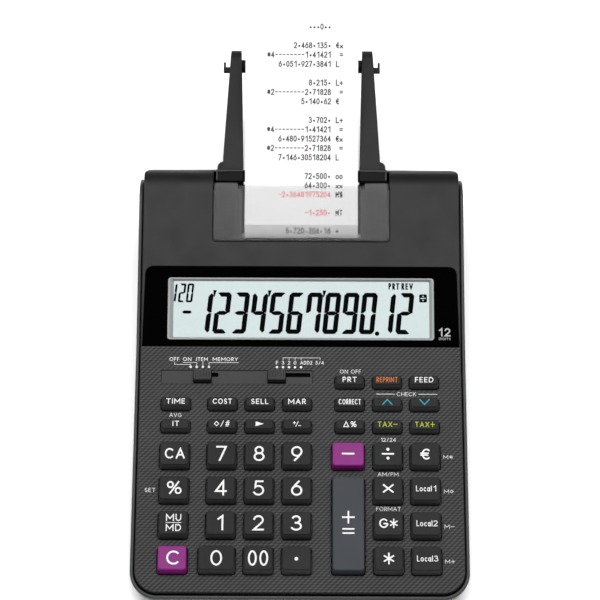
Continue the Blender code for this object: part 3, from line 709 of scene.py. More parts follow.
# Legends: text, offset in x and s from the middle of the key's face, height, stroke and width.
DIGIT, SMALL = (7.7, 0.88), (2.75, 0.4)
LOCAL = (2.95, 0.37)
LEGENDS = {
    **{f"key_{d}": [(d, 0, -0.05, *DIGIT)] for d in "0123456789"},
    "key_00": [("00", 0, -0.05, *DIGIT, 9.8)],
    "key_point": [("·", 0, 0, 8, 1.45)],
    "key_clear_all": [("CA", 0.25, -0.1, 5.4, 0.76, 9.8)],
    "key_percent": [("%", 0.35, 0, 6.6, 0.78, 7.2)],
    "key_markup": [("MU", 0.4, 2.5, 3.5, 0.48, 7.4), ("MD", 0.4, -2.6, 3.5, 0.48, 7.4)],
    "key_clear": [("C", 0.4, 0, 7, 0.88)],
    "key_minus": [("-", 0, 0.1, 7.2, 0.85, 6.1)],
    "key_divide": [("-", 0, 0.1, 7, 0.82, 6), ("·", 0, 2.45, 2, 1.25), ("·", 0, -2.1, 2, 1.25)],
    "key_multiply": [("x", 0, 0, 5.2, 0.8, 5.2)],
    "key_euro": [("€", 0, 0, 5.6, 0.74)],
    "key_plus_equals": [("+", 0, 3, 6.4, 0.78, 6.2), ("-", 0, -2.9, 4, 0.75, 5.8),
                        ("-", 0, -5, 4, 0.75, 5.8)],
    "key_grand_total": [("G", -2.4, 0, 4.7, 0.68, 4.3), ("*", 2.5, 0, 4.7, 0.6, 4.2)],
    "key_total": [("*", 0, 0, 5.8, 0.74, 5.7)],
    **{f"key_local_{d}": [("Local", -1, 0.05, *LOCAL, 7.7, 0.13), (d, 4.4, 0.05, *LOCAL, None, 0.13)]
       for d in "123"},
    "key_time": [("TIME", 0, 0.1, *SMALL)],
    "key_cost": [("COST", 0, 0.1, *SMALL, 9.5)],
    "key_sell": [("SELL", 0, 0.1, *SMALL)],
    "key_margin": [("MAR", 0, 0.1, *SMALL)],
    "key_correct": [("CORRECT", 0, 0.1, 2.75, 0.36, 11)],
    "key_print_mode": [("PRT", 0, 0.1, *SMALL)],
    "key_feed": [("FEED", 0, 0.1, *SMALL)],
    "key_item": [("IT", 0.3, 0.1, *SMALL)],
    "key_subtotal": [("◇/#", 0, 0.1, 3.2, 0.36, 7.8)],
    "key_sign": [("+", -1.25, 0.75, 1.5, 0.36), ("/", 0, 0.1, 2.8, 0.34), ("-", 1.4, -0.75, 1.5, 0.36)],
    "key_delta_percent": [("Δ%", 0, 0.1, 3, 0.43)],
    "key_reprint": [("REPRINT", 0, 0.1, 2.75, 0.34, 10.5)],
    "key_check_up": [("∧", 0, 0.1, 3.1, 0.55)],
    "key_check_down": [("∨", 0, 0.1, 3.1, 0.55)],
    "key_tax_minus": [("TAX-", 0, 0.1, *SMALL, 9.7)],
    "key_tax_plus": [("TAX+", 0, 0.1, *SMALL, 9.7)],
}
INKS = {"key_reprint": "ink_orange", "key_check_up": "ink_teal", "key_check_down": "ink_teal",
        "key_tax_minus": "ink_lime", "key_tax_plus": "ink_lime"}
PLASTICS = {"key_minus": "purple", "key_clear": "purple", "key_plus_equals": "slate"}


def make_key(node):
    key, shape = Key(node), Shape()
    colour, ink = PLASTICS.get(node, "key"), INKS.get(node, "ink_white")
    key.cap(shape)
    shape.material = 1
    for text, dx, ds, *style in LEGENDS.get(node, ()):
        lettering(shape, text, key.surface, key.x + dx, key.face_middle + ds, *style)
    if node == "key_markup":
        middle = key.face_middle - 0.05
        ink_line(shape, [(key.x - 3.2, middle), (key.x + 4, middle)], 0.3, key.surface)
    if node == "key_backspace":
        middle = key.face_middle + 0.1
        ink_patch(shape, [(key.x - 1.9, middle - 1.25), (key.x + 2.1, middle), (key.x - 1.9, middle + 1.25)],
                  key.surface, lift=0.06)
    # Black keys get the lighter side plastic on their walls, which is painted light; coloured keys keep one
    # plastic all round.
    sides = "key_side" if colour == "key" else colour
    piece(node.replace("key_", "cap_"), shape, f"{colour} {ink} {sides}", node,
          replaces=[node], smooth=40)


KEY_NODES = sorted(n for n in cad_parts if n.startswith("key_") and n != "key_membrane")
for node_name in KEY_NODES:
    make_key(node_name)


# ---- case

def case_outline(inset, corner_steps=12):
    """Plan outline of the case, listed from the front centre round to it again."""
    side = HALF_WIDTH - inset
    near, far = CORNER - inset, max(MIN_CORNER, REAR_CORNER - inset)
    rear, last = REAR_Y - inset - far, 212.7
    breaks = [DISPLAY_Y, PRINTER_Y, RIM_TURN_Y, 206, RIDGE_Y, 208.5, 210, 211.4]
    breaks += [last + (rear - last) * i / 4 for i in range(4)]
    front_arc = arc(side - near, inset + near, near, near, -90, 0, corner_steps)
    rear_arc = arc(side - far, rear, far, far, 0, 90, corner_steps)
    return mirrored(front_arc + [(side, y) for y in breaks] + rear_arc)


def case_loop(inset, height):
    return [place(x, y, height(y)) for x, y in case_outline(inset)]


def rim_loop(inset, drop):
    return case_loop(inset, lambda y: rim_height(y, inset) - drop)


def deck_loop(inset, drop):
    return case_loop(inset, lambda y: deck_height(y) - drop)


def case_shell(rows):
    """A closed shell from loops of the case outline, covered with strips that run across it."""
    shell = Shape()
    shell.loft(rows, caps=False)
    for loop in (rows[0][::-1], rows[-1]):
        verts = [shell.bm.verts.new(p) for p in loop]
        for i in range(len(verts) // 2 - 1):
            shell.face((verts[i], verts[i + 1], verts[-2 - i], verts[-1 - i]))
    return shell


def flared(deck, outline_at, low, chamfer=0.3, high=0.6):
    """Loops of a cutter that also chamfers the edge where it meets the deck."""
    return levelled(deck.at, outline_at, ((low, 0), (-chamfer, 0), (high, high + chamfer)))


def window_outline(grow, half=78.5, corner=4):
    low, high = -0.25 - grow, DISPLAY.s_at(PRINTER_Y) - 0.3 + grow
    half, corner = half + grow, corner + grow
    return mirrored([(half + 0.9, low)] + arc(half - corner, high - corner, corner, corner, 0, 90, 8))


def rectangle(x, y, grow=0):
    return rounded((x[0] - grow, x[1] + grow), (y[0] - grow, y[1] + grow), 0.6 + grow, 3)


def solid_box(shape, x, y, z):
    shape.slab(place, [(x[0], y[0]), (x[1], y[0]), (x[1], y[1]), (x[0], y[1])], z)


def make_case_top():
    shell = case_shell([rim_loop(TOP_INSET, 3)] + [deck_loop(TOP_INSET + inset, drop) for drop, inset in (
        (0.55, 0), (0.3, 0.06), (0.1, 0.22), (0, 0.45))])
    inner = TOP_INSET + 2
    hollow = case_shell([rim_loop(inner, 9), deck_loop(inner, DECK_THICKNESS)])

    ring = Shape()
    ring_s = (PRINTER.s_at(BAY_FRONT - 2.5), PRINTER.s_at(RIDGE_Y))
    ring.slab(PRINTER.at, rectangle((-BAY_X - 2.6, BAY_X + 2.6), ring_s), (-4.5, -1.2))

    steps = Shape()
    steps.loft(flared(KEYS, lambda g: rectangle(STRIP_X, STRIP_S, g), -STRIP_DEPTH, 0.2))
    steps.loft(flared(DISPLAY, window_outline, -1.8, 0.25))
    bay = (PRINTER.s_at(BAY_FRONT), PRINTER.s_at(EAR_Y) + 1.5)
    steps.loft(flared(PRINTER, lambda g: rounded((-BAY_X - g, BAY_X + g), (bay[0] - g, bay[1] + g), 1.8 + g),
                      -LEDGE_DROP, 0.3))

    holes = Shape()
    for node in KEY_NODES:
        holes.loft(flared(KEYS, lambda g, key=Key(node): key.around(
            KEY_GAP + g, FRONT_GAP + g, KEY_GAP + g, 1.8 + g), -6, 0.15))
    for slot in SLOTS_X:
        holes.slab(KEYS.at, rectangle(slot, SLOT_S), (-5, 0.5))
    holes.slab(DISPLAY.at, rectangle((-LCD_X - 0.5, LCD_X + 0.5), (LCD_S[0] - 0.5, LCD_S[1] + 0.5)),
               (-5, 0))
    opening = (PRINTER.s_at(BAY_FRONT - 0.8), PRINTER.s_at(BAY_REAR - 8))
    holes.slab(PRINTER.at, rectangle((-LEDGE_X, LEDGE_X), opening), (-9, 0.2 - LEDGE_DROP))
    solid_box(holes, (-INLET_X, INLET_X), (BAY_REAR + 0.2, REAR_Y), INLET_Z)
    for side in SIDES:
        holes.turned(HINGE, [(side * (BAY_X + x), PIN_BORE) for x in (-0.6, 1.8)], 20)

    recess = Shape()
    solid_box(recess, (-BAY_X, BAY_X), (208, BAY_REAR), (28, 62))

    mesh = carve("case_top", shell, [("DIFFERENCE", hollow), ("UNION", ring), ("DIFFERENCE", steps),
                                     ("DIFFERENCE", holes), ("DIFFERENCE", recess)],
                 "shell weave strip")
    slope = Vector((0, -KEYS.sin, KEYS.cos))
    for polygon in mesh.polygons:
        n = KEYS.local(polygon.center)[2]
        flat = polygon.normal.dot(slope) > 0.9999
        on_keys, on_strip = flat and abs(n) < 0.05, flat and abs(n + STRIP_DEPTH) < 0.05
        polygon.material_index = 1 if on_keys else 2 if on_strip else 0
    piece("case_top", mesh, None, "case", replaces=["upper_case"])


def make_case_base():
    def flat(inset, z):
        return case_loop(inset, lambda y: z)

    def share_loop(inset, share):
        return case_loop(inset, lambda y: FLOOR_Z[0] + share * (rim_height(y, inset) - FLOOR_Z[0]))

    shell = case_shell([flat(9, FLOOR_Z[0]), flat(8.2, FLOOR_Z[0] + 0.15)]
                       + [share_loop(*level) for level in ((5.5, 0.1), (3.2, 0.22), (1.6, 0.4), (0.75, 0.58),
                                                           (0.3, 0.75))]
                       + [rim_loop(*level) for level in ((0, 0.9), (0.07, 0.5), (0.25, 0.18), (0.55, 0),
                                                         (1.25, 0), (RIM_WIDTH, 0.3))]
                       + [share_loop(RIM_WIDTH + 0.2, 0.66), share_loop(3.6, 0.42), flat(10.5, FLOOR_Z[1])])

    bosses, cuts, lip = Shape(), Shape(), Shape()
    wall, (y0, y1) = 1.5, BATTERY_Y
    x, z, wide, high, deep = SOCKET
    solid_box(bosses, (-BATTERY_X - wall, BATTERY_X + wall), (y0 - wall, y1 + wall),
              (FLOOR_Z[0] + 0.2, BATTERY_TOP + wall))
    solid_box(bosses, (x - wide / 2 - wall, x + wide / 2 + wall), (deep - wall, 219.5),
              (FLOOR_Z[1] - 0.5, z + high / 2 + wall))
    solid_box(cuts, (-BATTERY_X, BATTERY_X), BATTERY_Y, (-1, BATTERY_TOP))
    cuts.slab(back, rounded((x - wide / 2, x + wide / 2), (z - high / 2, z + high / 2), 1.6),
              (deep, REAR_Y + 5))
    for screw in SCREWS:
        cuts.upright(*screw, [(0, 3.4), (3.6, 3.4)])
    cuts.slab(place, rounded((-34, 34), (70, 104), 2), (0, 2.5))      # label
    for i in range(-3, 4):
        solid_box(cuts, (6 * i - 1, 6 * i + 1), (170, 188), (0, 3.2))      # vents
    solid_box(lip, (-BATTERY_X - 1, BATTERY_X + 1), (y0 - 1, y0 + 4.6), (4.3, 5.2))
    mesh = carve("case_base", shell, [("UNION", bosses), ("DIFFERENCE", cuts), ("UNION", lip)], "base")
    piece("case_base", mesh, None, "case", replaces=["lower_case"])


def make_feet():
    feet, screws = Shape(), Shape()
    for x in (-60, 60):
        for y in (24, 198):
            feet.upright(x, y, [(2.5, 7), (0.8, 7), (0.3, 6.85), (0, 6.2), (0, 3.6), (0.35, 3.2),
                                (0.35, 0.05)])
    piece("rubber_feet", feet, "rubber", "case")
    for screw in SCREWS:
        screws.upright(*screw, [(4, 2.6), (2.4, 2.6), (2, 2.1), (2, 0.1)], 24)
    piece("base_screws", screws, "steel", "case")


make_case_top()
make_case_base()
make_feet()


# ---- switch strip and deck printing

def make_knob(name, node, stem=0):
    (x0, x1), (s0, s1), (_, top) = KEYS.extent(node)
    middle_x, middle_s = (x0 + x1) / 2, (s0 + s1) / 2
    shape = Shape()

    def inset(amount, front):
        return rounded((x0 + amount, x1 - amount), (s0 + amount + front, s1 - amount), 0.7, 4)

    loops = levelled(KEYS.at, inset, ((-0.3, 0, 0), (top * 0.45, 0.05, 0.15), (top - 0.4, 0.2, 0.9),
                                      (top - 0.12, 0.32, 1.1), (top, 0.6, 1.4)))
    shape.material = 1
    shape.loft(loops[:3], caps=False)
    shape.fan(loops[0][::-1], KEYS.at(middle_x, middle_s, -0.3))
    shape.material = 0
    shape.loft(loops[2:], caps=False)
    shape.fan(loops[-1], KEYS.at(middle_x, middle_s + 0.7, top))
    ridges = 6
    for i in range(ridges):
        x = x0 + 1.3 + (x1 - x0 - 2.6) * i / (ridges - 1)
        shape.slab(KEYS.at, rounded((x - 0.26, x + 0.26), (s0 + 2.3, s1 - 0.8), 0.2, 2),
                   (top - 0.3, top), 0.1)
    x = stem + middle_x
    shape.slab(KEYS.at, rounded((x - 0.7, x + 0.7), (SLOT_S[0] + 0.3, SLOT_S[1] - 0.3), 0.3, 2),
               (-4, 0))
    piece(name, shape, "knob root", node, replaces=[node])


def make_slot_shade_plate():
    """Near-black plate under the slots of the two switches: painted shade that makes the slots read black."""
    shade_plate = Shape()
    shade_plate.slab(KEYS.at, rounded((-57, 7), (SLOT_S[0] - 1.2, SLOT_S[1] + 1.2), 0.8, 3),
               (-5, -4.3), 0.2)
    piece("slot_shade_plate", shade_plate, "root", "case")


MODE_DOTS, DECIMAL_DOTS, DOT_S = (-54.9, -51.85, -48.8, -45.75), (-11.8, -8.8, -5.8, -2.8, 0.2), 118.1
# Words on the key deck: height and stroke, then text, x, s and width of each.
DECK_WORDS = [
    ((1.95, 0.26), [("OFF", -63.1, 122.2, 4.9), ("ON", -56.7, 122.2, 4.2), ("ITEM", -49.3, 122.2, 5.8),
                    ("MEMORY", -37.6, 122.2, 12.6)]),
    ((1.9, 0.24), [("F", -11.8, 120.5, 1.1), ("3", -8.8, 120.5, 1.2), ("2", -5.8, 120.5, 1.2),
                   ("0", -2.8, 120.5, 1.3), ("ADD2", 2.8, 120.5, 6), ("5/4", 9.5, 120.5, 4.2)]),
    ((2.05, 0.22), [("ON", 21.6, 115.9, 4), ("OFF", 27.6, 115.9, 5), ("CHECK", 52.6, 104.1, 9.5),
                    ("AVG", -61.9, 92.7, 6), ("12/24", 43.5, 80.2, 7.4), ("AM/PM", 43.1, 62.4, 10.2),
                    ("FORMAT", 43.2, 44.7, 12), ("SET", -73.5, 53.9, 5.3)]),
    ((1.95, 0.2), [("M*", 72.8, 71.4, 4.7), ("M◇", 72.8, 53.7, 4.7), ("M-", 72.8, 35.9, 4.7),
                   ("M+", 72.8, 18.3, 4.7)]),
]
DECK_LINES = [
    (0.2, [[(-62.9, 120.7), (-62.9, 119.35), (-54.9, 119.35), (-54.9, 118.4)],
           [(-58.7, 120.4), (-51.85, 120.4), (-51.85, 118.4)], [(-48.8, 120.8), (-48.8, 118.4)],
           [(-31, 120.4), (-45.75, 120.4), (-45.75, 118.4)],
           [(-8.8, 122), (-8.8, 123.1), (9.7, 123.1), (9.7, 122)],
           *([(x, 122), (x, 123.1)] for x in DECIMAL_DOTS[2:])]),
    (0.26, [[(46.8, 104.1), (37.8, 104.1)], [(58.8, 104.1), (67.8, 104.1)]]),
]


def make_deck_print():
    shape = Shape()
    for x in MODE_DOTS + DECIMAL_DOTS:
        ink_patch(shape, circle(x, DOT_S, 0.6, 16), KEYS.at)
    for style, words in DECK_WORDS:
        for text, x, s, width in words:
            lettering(shape, text, KEYS.at, x, s, *style, width)
    for width, paths in DECK_LINES:
        for path in paths:
            ink_line(shape, path, width, KEYS.at)
    piece("deck_print", shape, "ink_white", "case", smooth=60)


make_knob("mode_switch", "knob_mode", 3.5)
make_knob("decimal_switch", "knob_decimal")
make_slot_shade_plate()
make_deck_print()


# ---- display

SEGMENTS = {"0": "ABCDEF", "1": "BC", "2": "ABGED", "3": "ABGCD", "4": "FGBC", "5": "AFGCD",
            "6": "AFGECD", "7": "FABC", "8": "ABCDEFG", "9": "ABCDFG"}
SEGMENT_INK = dict(low=-0.02, high=0.06)
DIGIT_PITCH, FIRST_DIGIT_X = 9.2, -48.85


def on_glass(x, s, n):
    return DISPLAY.at(x, s, GLASS_N + n)


def segment_outlines(w, h, t, gap):
    """Outlines of the seven segments in a w x h box, bar thickness t."""
    m, half = h / 2, t / 2
    upright = [(0, gap + half), (half * 0.8, gap * 0.5 + half * 0.3), (t, gap + t * 0.8),
               (t, m - half - gap * 0.4), (half, m - gap * 0.5), (0, m - gap)]
    top = [(gap + half * 0.4, h - half * 0.3), (t * 0.7, h), (w - t * 0.7, h),
           (w - gap - half * 0.4, h - half * 0.3),
           (w - t - gap * 0.6, h - t * 0.95), (t + gap * 0.6, h - t * 0.95)]
    left, right = gap + half * 0.5, t + gap * 0.5
    middle = [(left, m), (right, m + half * 0.85), (w - right, m + half * 0.85), (w - left, m),
              (w - right, m - half * 0.85), (right, m - half * 0.85)]
    flip_x = lambda pts: [(w - x, y) for x, y in reversed(pts)]
    flip_y = lambda pts: [(x, h - y) for x, y in reversed(pts)]
    return {"A": top, "D": flip_y(top), "G": middle, "E": upright, "C": flip_x(upright),
            "F": flip_y(upright), "B": flip_x(flip_y(upright))}


def lcd_digit(shape, char, x, s, w, h, t, slant=math.tan(math.radians(6))):
    outlines = segment_outlines(w, h, t, 0.09 * t)
    for name in SEGMENTS[char]:
        points = [(x - w / 2 + px + (py - h / 2) * slant, s + py) for px, py in outlines[name]]
        ink_patch(shape, points, on_glass, **SEGMENT_INK)


def make_display():
    panel, opening, bezel, glass = Shape(), Shape(), Shape(), Shape()
    panel.tiers(DISPLAY.at, window_outline, ((-1.5, 0), (-0.25, 0), (-0.07, -0.07), (0, -0.25)))
    opening.slab(DISPLAY.at, rounded(BEZEL_X, BEZEL_S, 1.5), (-2, 1))
    mesh = carve("display_panel", panel, [("DIFFERENCE", opening)], "panel")
    piece("display_panel", mesh, None, "case", replaces=["display_window"])

    def drawn_in(side, low, high, radius, x=BEZEL_X, s=BEZEL_S, steps=6):
        return rounded((x[0] + side, x[1] - side), (s[0] + low, s[1] - high), radius, steps)

    bezel.loft(levelled(DISPLAY.at, drawn_in, (
        (-1.8, 0.02, 0.02, 0.02, 1.5), (-0.25, 0.02, 0.02, 0.02, 1.5), (-0.12, 0.12, 0.12, 0.12, 1.4),
        (-0.12, 1.1, 0.6, 0.75, 1), (-0.35, 1.35, 0.75, 0.9, 0.9)))
        + stack(DISPLAY.at, rounded(GLASS_X, GLASS_S, 0.35), (GLASS_N - 0.05, -1.8)), ring=True)
    piece("display_bezel", bezel, "bezel", "case")

    glass.slab(DISPLAY.at, rectangle((-LCD_X, LCD_X), LCD_S), (-4.8, -1.85))
    glass.tiers(DISPLAY.at, lambda i: drawn_in(i, i, i, 0.6, GLASS_X, GLASS_S, 3), (
        (-1.86, 0.05), (GLASS_N - 0.02, 0.05), (GLASS_N, 0.07)))
    piece("lcd_glass", glass, "lcd", "case", replaces=["lcd_panel"])

    marks = Shape()
    for i, char in enumerate("123456789012"):
        lcd_digit(marks, char, FIRST_DIGIT_X + DIGIT_PITCH * i, 6.6, 7.7, 21.5, 2.45)
    for i in (0, 3, 6):                                                  # thousands marks
        x = FIRST_DIGIT_X + DIGIT_PITCH * i + 5.35
        comma = [(x - 0.7, 29.2), (x - 0.4, 25.6), (x, 25.8), (x + 1.15, 29.2)]
        ink_patch(marks, comma, on_glass, **SEGMENT_INK)
    ink_patch(marks, circle(38.3, 6.9, 1.15, 20), on_glass, **SEGMENT_INK)
    for char, x in (("1", -64.3), ("2", -59.9), ("0", -55.9)):           # item count
        lcd_digit(marks, char, x, 22.8, 3.3, 9.8, 1.05)
    dash = [(-59.8, 17.7), (-58.9, 18.5), (-55.7, 18.5), (-54.8, 17.7), (-55.7, 16.9), (-58.9, 16.9)]
    ink_patch(marks, dash, on_glass, **SEGMENT_INK)
    for text, x, width in (("PRT", 46.9, 5.5), ("REV", 53.6, 5.8)):
        lettering(marks, text, on_glass, x, 31.5, 3.35, 0.64, width)
    piece("lcd_marks", marks, "segment", "case")

    sign = Shape()
    sign.slab(on_glass, rounded((59.6, 63.5), (23.2, 27.4), 0.7, 3), (-0.02, 0.06))
    sign.material = 1
    inner = lambda x, s, n: on_glass(x, s, n + 0.06)
    ink_line(sign, [(60.45, 25.3), (62.65, 25.3)], 0.42, inner)
    for s in (24.25, 26.35):
        ink_patch(sign, circle(61.55, s, 0.34, 12), inner)
    piece("lcd_sign", sign, "segment lcd", "case")

    note = Shape()
    lettering(note, "12", DISPLAY.at, 72.2, 7.4, 4.3, 0.7, 5.8)
    lettering(note, "DIGITS", DISPLAY.at, 72.2, 4, 1.2, 0.18, 5.8)
    piece("panel_print", note, "ink_grey", "case", smooth=60)


make_display()


# ---- printer and its cover

def make_cover():
    front, rear, ear = (PRINTER.s_at(y) for y in (COVER_FRONT, COVER_REAR, EAR_Y))

    def outline(inset):
        right = arc(COVER_X - 2.4, front + 2.4, 2.4 - inset, 2.4 - inset, -90, 0, 8)
        right += arc(COVER_X - 0.8, ear - 0.8, 0.8 - inset, 0.8 - inset, 0, 90, 3)
        return mirrored(right + [(EAR_X + inset, ear - inset), (EAR_X + inset, rear - inset)])

    cover = Shape()
    cover.tiers(PRINTER.at, outline, (
        (-COVER_THICKNESS, 0.25), (-COVER_THICKNESS + 0.25, 0), (-0.3, 0), (-0.08, 0.1), (0, 0.3)))
    for side in SIDES:
        cover.turned(HINGE, [(side * (COVER_X - 0.4), PIN), (side * (BAY_X + 1.2), PIN),
                             (side * (BAY_X + 1.4), PIN - 0.15)], 20)
    piece("clear_cover", cover, "smoke", "printer_cover", replaces=["printer_cover"])


def toothed(shape, axis, x, radius, hub, teeth, depth):
    """A toothed wheel on an axis along X, from x[0] to x[1]."""
    steps = [(radius - (depth if i % 4 < 2 else 0), 2 * math.pi * i / (teeth * 4)) for i in range(teeth * 4)]
    shape.slab(across, [(axis[0] + r * math.cos(a), axis[1] + r * math.sin(a)) for r, a in steps], x)
    shape.turned(axis, [(x[0] - 0.5, hub), (x[1] + 0.5, hub)], 24)


def symmetrical(profile):
    """Both ends of a turned profile, from a list of its points at one end."""
    return [(-x, r) for x, r in profile] + profile[::-1]


def shaft(shape, axis, chamfer=0.3):
    shape.material = 1
    shape.turned(axis, symmetrical([(SHAFT_X, SHAFT - chamfer), (SHAFT_X - chamfer, SHAFT)]), 24)


def sleeve(shape, axis, half, radius, bore, chamfer, segments):
    section = [(half, bore), (half, radius - chamfer), (half - chamfer, radius)]
    shape.turned(axis, symmetrical(section), segments)


def make_rollers():
    platen, drum, inker = Shape(), Shape(), Shape()
    *axis, radius = PLATEN
    sleeve(platen, axis, PLATEN_HALF, radius, 2.2, 0.4, 48)
    shaft(platen, axis)
    piece("platen", platen, "rubber steel", "feed_roller", replaces=["feed_roller"])

    *axis, radius = DRUM
    wheels = 16
    for i in range(wheels):
        x0 = -DRUM_HALF + 2 * DRUM_HALF * i / wheels
        toothed(drum, axis, (x0 + 0.25, x0 + 2 * DRUM_HALF / wheels - 0.25), radius, radius - 1.2, 14, 0.6)
    shaft(drum, axis)
    piece("type_drum", drum, "drum steel", "print_drum", replaces=["print_drum"])

    *axis, radius = INKER
    sleeve(inker, axis, DRUM_HALF, radius, 1.8, 0.5, 36)
    shaft(inker, axis, 0.2)
    piece("ink_sleeve", inker, "felt drum", "ink_roller", replaces=["ink_roller"])


def make_printer():
    chassis, tray, blade = Shape(), Shape(), Shape()
    cheek = [(161, 5.1), (204, 5.1), (204, 37), (177, 37), (172, 32), (161, 32)]
    for side in SIDES:
        chassis.slab(across, cheek, (side * 33.25, side * 34.65), 0.35)
        for axis in (PLATEN, DRUM, INKER):
            boss = [(side * x, r) for x, r in ((34.4, 2.9), (35.2, 2.9), (35.4, 2.6), (35.4, 1.9))]
            chassis.turned(axis[:2], boss, 24)
    chassis.slab(place, rounded((-34.6, 34.6), (161, 204), 1.5), (5.1, 6.6), 0.3)
    for rod in ((164, 29.5), (200.5, 12)):
        chassis.turned(rod, [(-33.6, 1.4), (33.6, 1.4)], 20)
    piece("print_chassis", chassis, "steel", "case", replaces=["printer_frame"])

    s0, s1 = PRINTER.s_at(BAY_FRONT - 0.4), PRINTER.s_at(EAR_Y + 0.9)
    for side in SIDES:
        for inner, rear in ((30.3, PRINTER.s_at(COVER_REAR - 0.6)), (32.6, s1)):
            x = sorted((side * inner, side * 43.8))
            tray.slab(PRINTER.at, rounded(x, (s0, rear), 0.6, 3), (-7.2, -5.2), 0.3)
        for rib in (33.6, 40):
            x = (side * rib - 0.4, side * rib + 0.4)
            tray.slab(PRINTER.at, rounded(x, (s0 + 1.5, s1 - 9), 0.3, 2), (-5.4, -3.4), 0.15)
    bar = [(181.6, 38), (183.6, 38), (183.75, 40.6), (184.5, 42.2), (184.3, 42.6), (181.6, 42)]
    tray.material = 1
    tray.slab(across, bar, (-40.6, 40.6), 0.2, angle=50)
    piece("paper_guide", tray, "shell root", "case")

    blade.slab(PRINTER.at, rounded((-28.7, 28.7), GUIDE_S, 0.3, 3), (-2.65, -1.95), 0.12)
    piece("clear_guide", blade, "guide", "case")


# ---- paper

def tape_line():
    """Centre line of the tape in y, z: off the roll, round the platen and out under the cover."""
    def turn(centre, radius, start, end, steps):
        return arc(*centre, radius, radius, start, end, steps)

    wrap = PLATEN[2] + GAP + TAPE_THICK / 2
    path = turn(ROLL, ROLL_RADIUS + GAP + TAPE_THICK / 2, -62, -90, 8)
    path.append((222, path[-1][1]))
    path += turn(PLATEN[:2], wrap, -76, -180, 24)
    bend, front = 7, PLATEN[0] - wrap
    path += turn((front + bend, 37.3), bend, 180, 106.5, 12)
    path.append((209, path[-1][1] + (209 - path[-1][0]) * math.tan(math.radians(16.5))))
    path.append((213, path[-1][1] + 1.6))
    free = math.radians(28)
    path.append((TAPE_END_Y, path[-1][1] + (TAPE_END_Y - 213) * math.tan(free)))
    curl = 60
    centre = (path[-1][0] - curl * math.sin(free), path[-1][1] + curl * math.cos(free))
    path += turn(centre, curl, 28 - 90, 28 - 66, 8)[1:]
    return resampled([Vector(p) for p in path], 3)


class Tape:
    def __init__(self):
        self.line = tape_line()
        self.length = [0]
        for a, b in zip(self.line, self.line[1:]):
            self.length.append(self.length[-1] + (b - a).length)

    def at(self, x, t, n):
        """Place at x across and t along the tape, n above its printed face."""
        i = 1
        while i < len(self.line) - 1 and self.length[i] < t:
            i += 1
        a, b = self.line[i - 1], self.line[i]
        share = (t - self.length[i - 1]) / (self.length[i] - self.length[i - 1])
        along = (b - a).normalized()
        y, z = a.lerp(b, share)
        offset = TAPE_THICK / 2 + n
        return place(x, y - along.y * offset, z + along.x * offset)

    def reach(self, y):
        """Distance along the tape at which its outgoing run passes y."""
        for i in range(len(self.line) - 1, 0, -1):
            a, b = self.line[i - 1], self.line[i]
            if a.x <= y <= b.x:
                return self.length[i - 1] + (y - a.x) / (b.x - a.x) * (self.length[i] - self.length[i - 1])


# Printed rows from the platen outwards: number, sign, and whether the number is red.
TAPE_ROWS = [
    ("4•208•35", "- ", 0), ("5•720•384•16", "⁺ ", 0), ("", "", 0), ("-1•250•", "MT", 1), ("", "", 0),
    ("-2•36481975204", "M%", 1), ("64•300•", "ₓₓ", 0), ("72•500•", "oo", 0), ("", "", 0),
    ("7•146•30518204", "L ", 0), ("♯2––––––––2•71828", " =", 0), ("6•480•91527364", "€ₓ", 0),
    ("♯4––––––––1•41421", " =", 0), ("3•702•", "L⁺", 0), ("", "", 0), ("5•140•62", "€ ", 0),
    ("♯2––––––––2•71828", " =", 0), ("8•215•", "L⁺", 0), ("", "", 0), ("6•051•927•3841", "L ", 0),
    ("♯4––––––––1•41421", " =", 0), ("2•468•135•", "€ₓ", 0), ("", "", 0), ("•••0••", "", 0),
]
TAPE_PITCH = 4.775
TAPE_SECOND_Y = 187.3          # where the second printed row lies; the first is at the fold
NUMBER_X, SIGN_X = 15.05, 21.15
TAPE_CELL = dict(height=3.15, stroke=0.5, width=1.7, pitch=1.93)


def make_paper():
    tape, strip, black, red, roll = Tape(), Shape(), Shape(), Shape(), Shape()
    half = TAPE_THICK / 2
    loops = []
    for i, p in enumerate(tape.line):
        a, b = tape.line[max(i - 1, 0)], tape.line[min(i + 1, len(tape.line) - 1)]
        d = (b - a).normalized()
        loops.append([place(x, p.x - side * d.y * half, p.y + side * d.x * half)
                      for side, x in ((-1, -TAPE_HALF), (-1, TAPE_HALF), (1, TAPE_HALF), (1, -TAPE_HALF))])
    strip.loft(loops)
    piece("tape", strip, "paper", "case", replaces=["paper_tape"], smooth=60)

    first = tape.reach(TAPE_SECOND_Y) + 0.75 - TAPE_PITCH
    for i, (number, sign, coloured) in enumerate(TAPE_ROWS):
        for ink, x, text in ((red if coloured else black, NUMBER_X, number), (black, SIGN_X, sign)):
            if text.strip():
                lettering(ink, text, tape.at, x, first + TAPE_PITCH * i, **TAPE_CELL)
    piece("tape_print", black, "print_black", "case", smooth=60)
    piece("tape_print_red", red, "print_red", "case", smooth=60)

    bevel = 0.35
    roll.turned(ROLL, symmetrical([(TAPE_HALF, CORE_RADIUS + 1.2), (TAPE_HALF, ROLL_RADIUS - bevel),
                                   (TAPE_HALF - bevel, ROLL_RADIUS)]), 96, ring=True)
    roll.bm.normal_update()
    for face in roll.bm.faces:
        face.material_index = 1 if abs(face.normal.x) > 0.9 else 0
    roll.material = 2
    roll.turned(ROLL, symmetrical([(TAPE_HALF - 0.1, CORE_RADIUS), (TAPE_HALF - 0.1, CORE_RADIUS + 1.2)]), 48,
                ring=True)
    piece("wound_roll", roll, "paper cut_paper card", "paper_roll",
          replaces=["paper_roll"])


# ---- roll holder

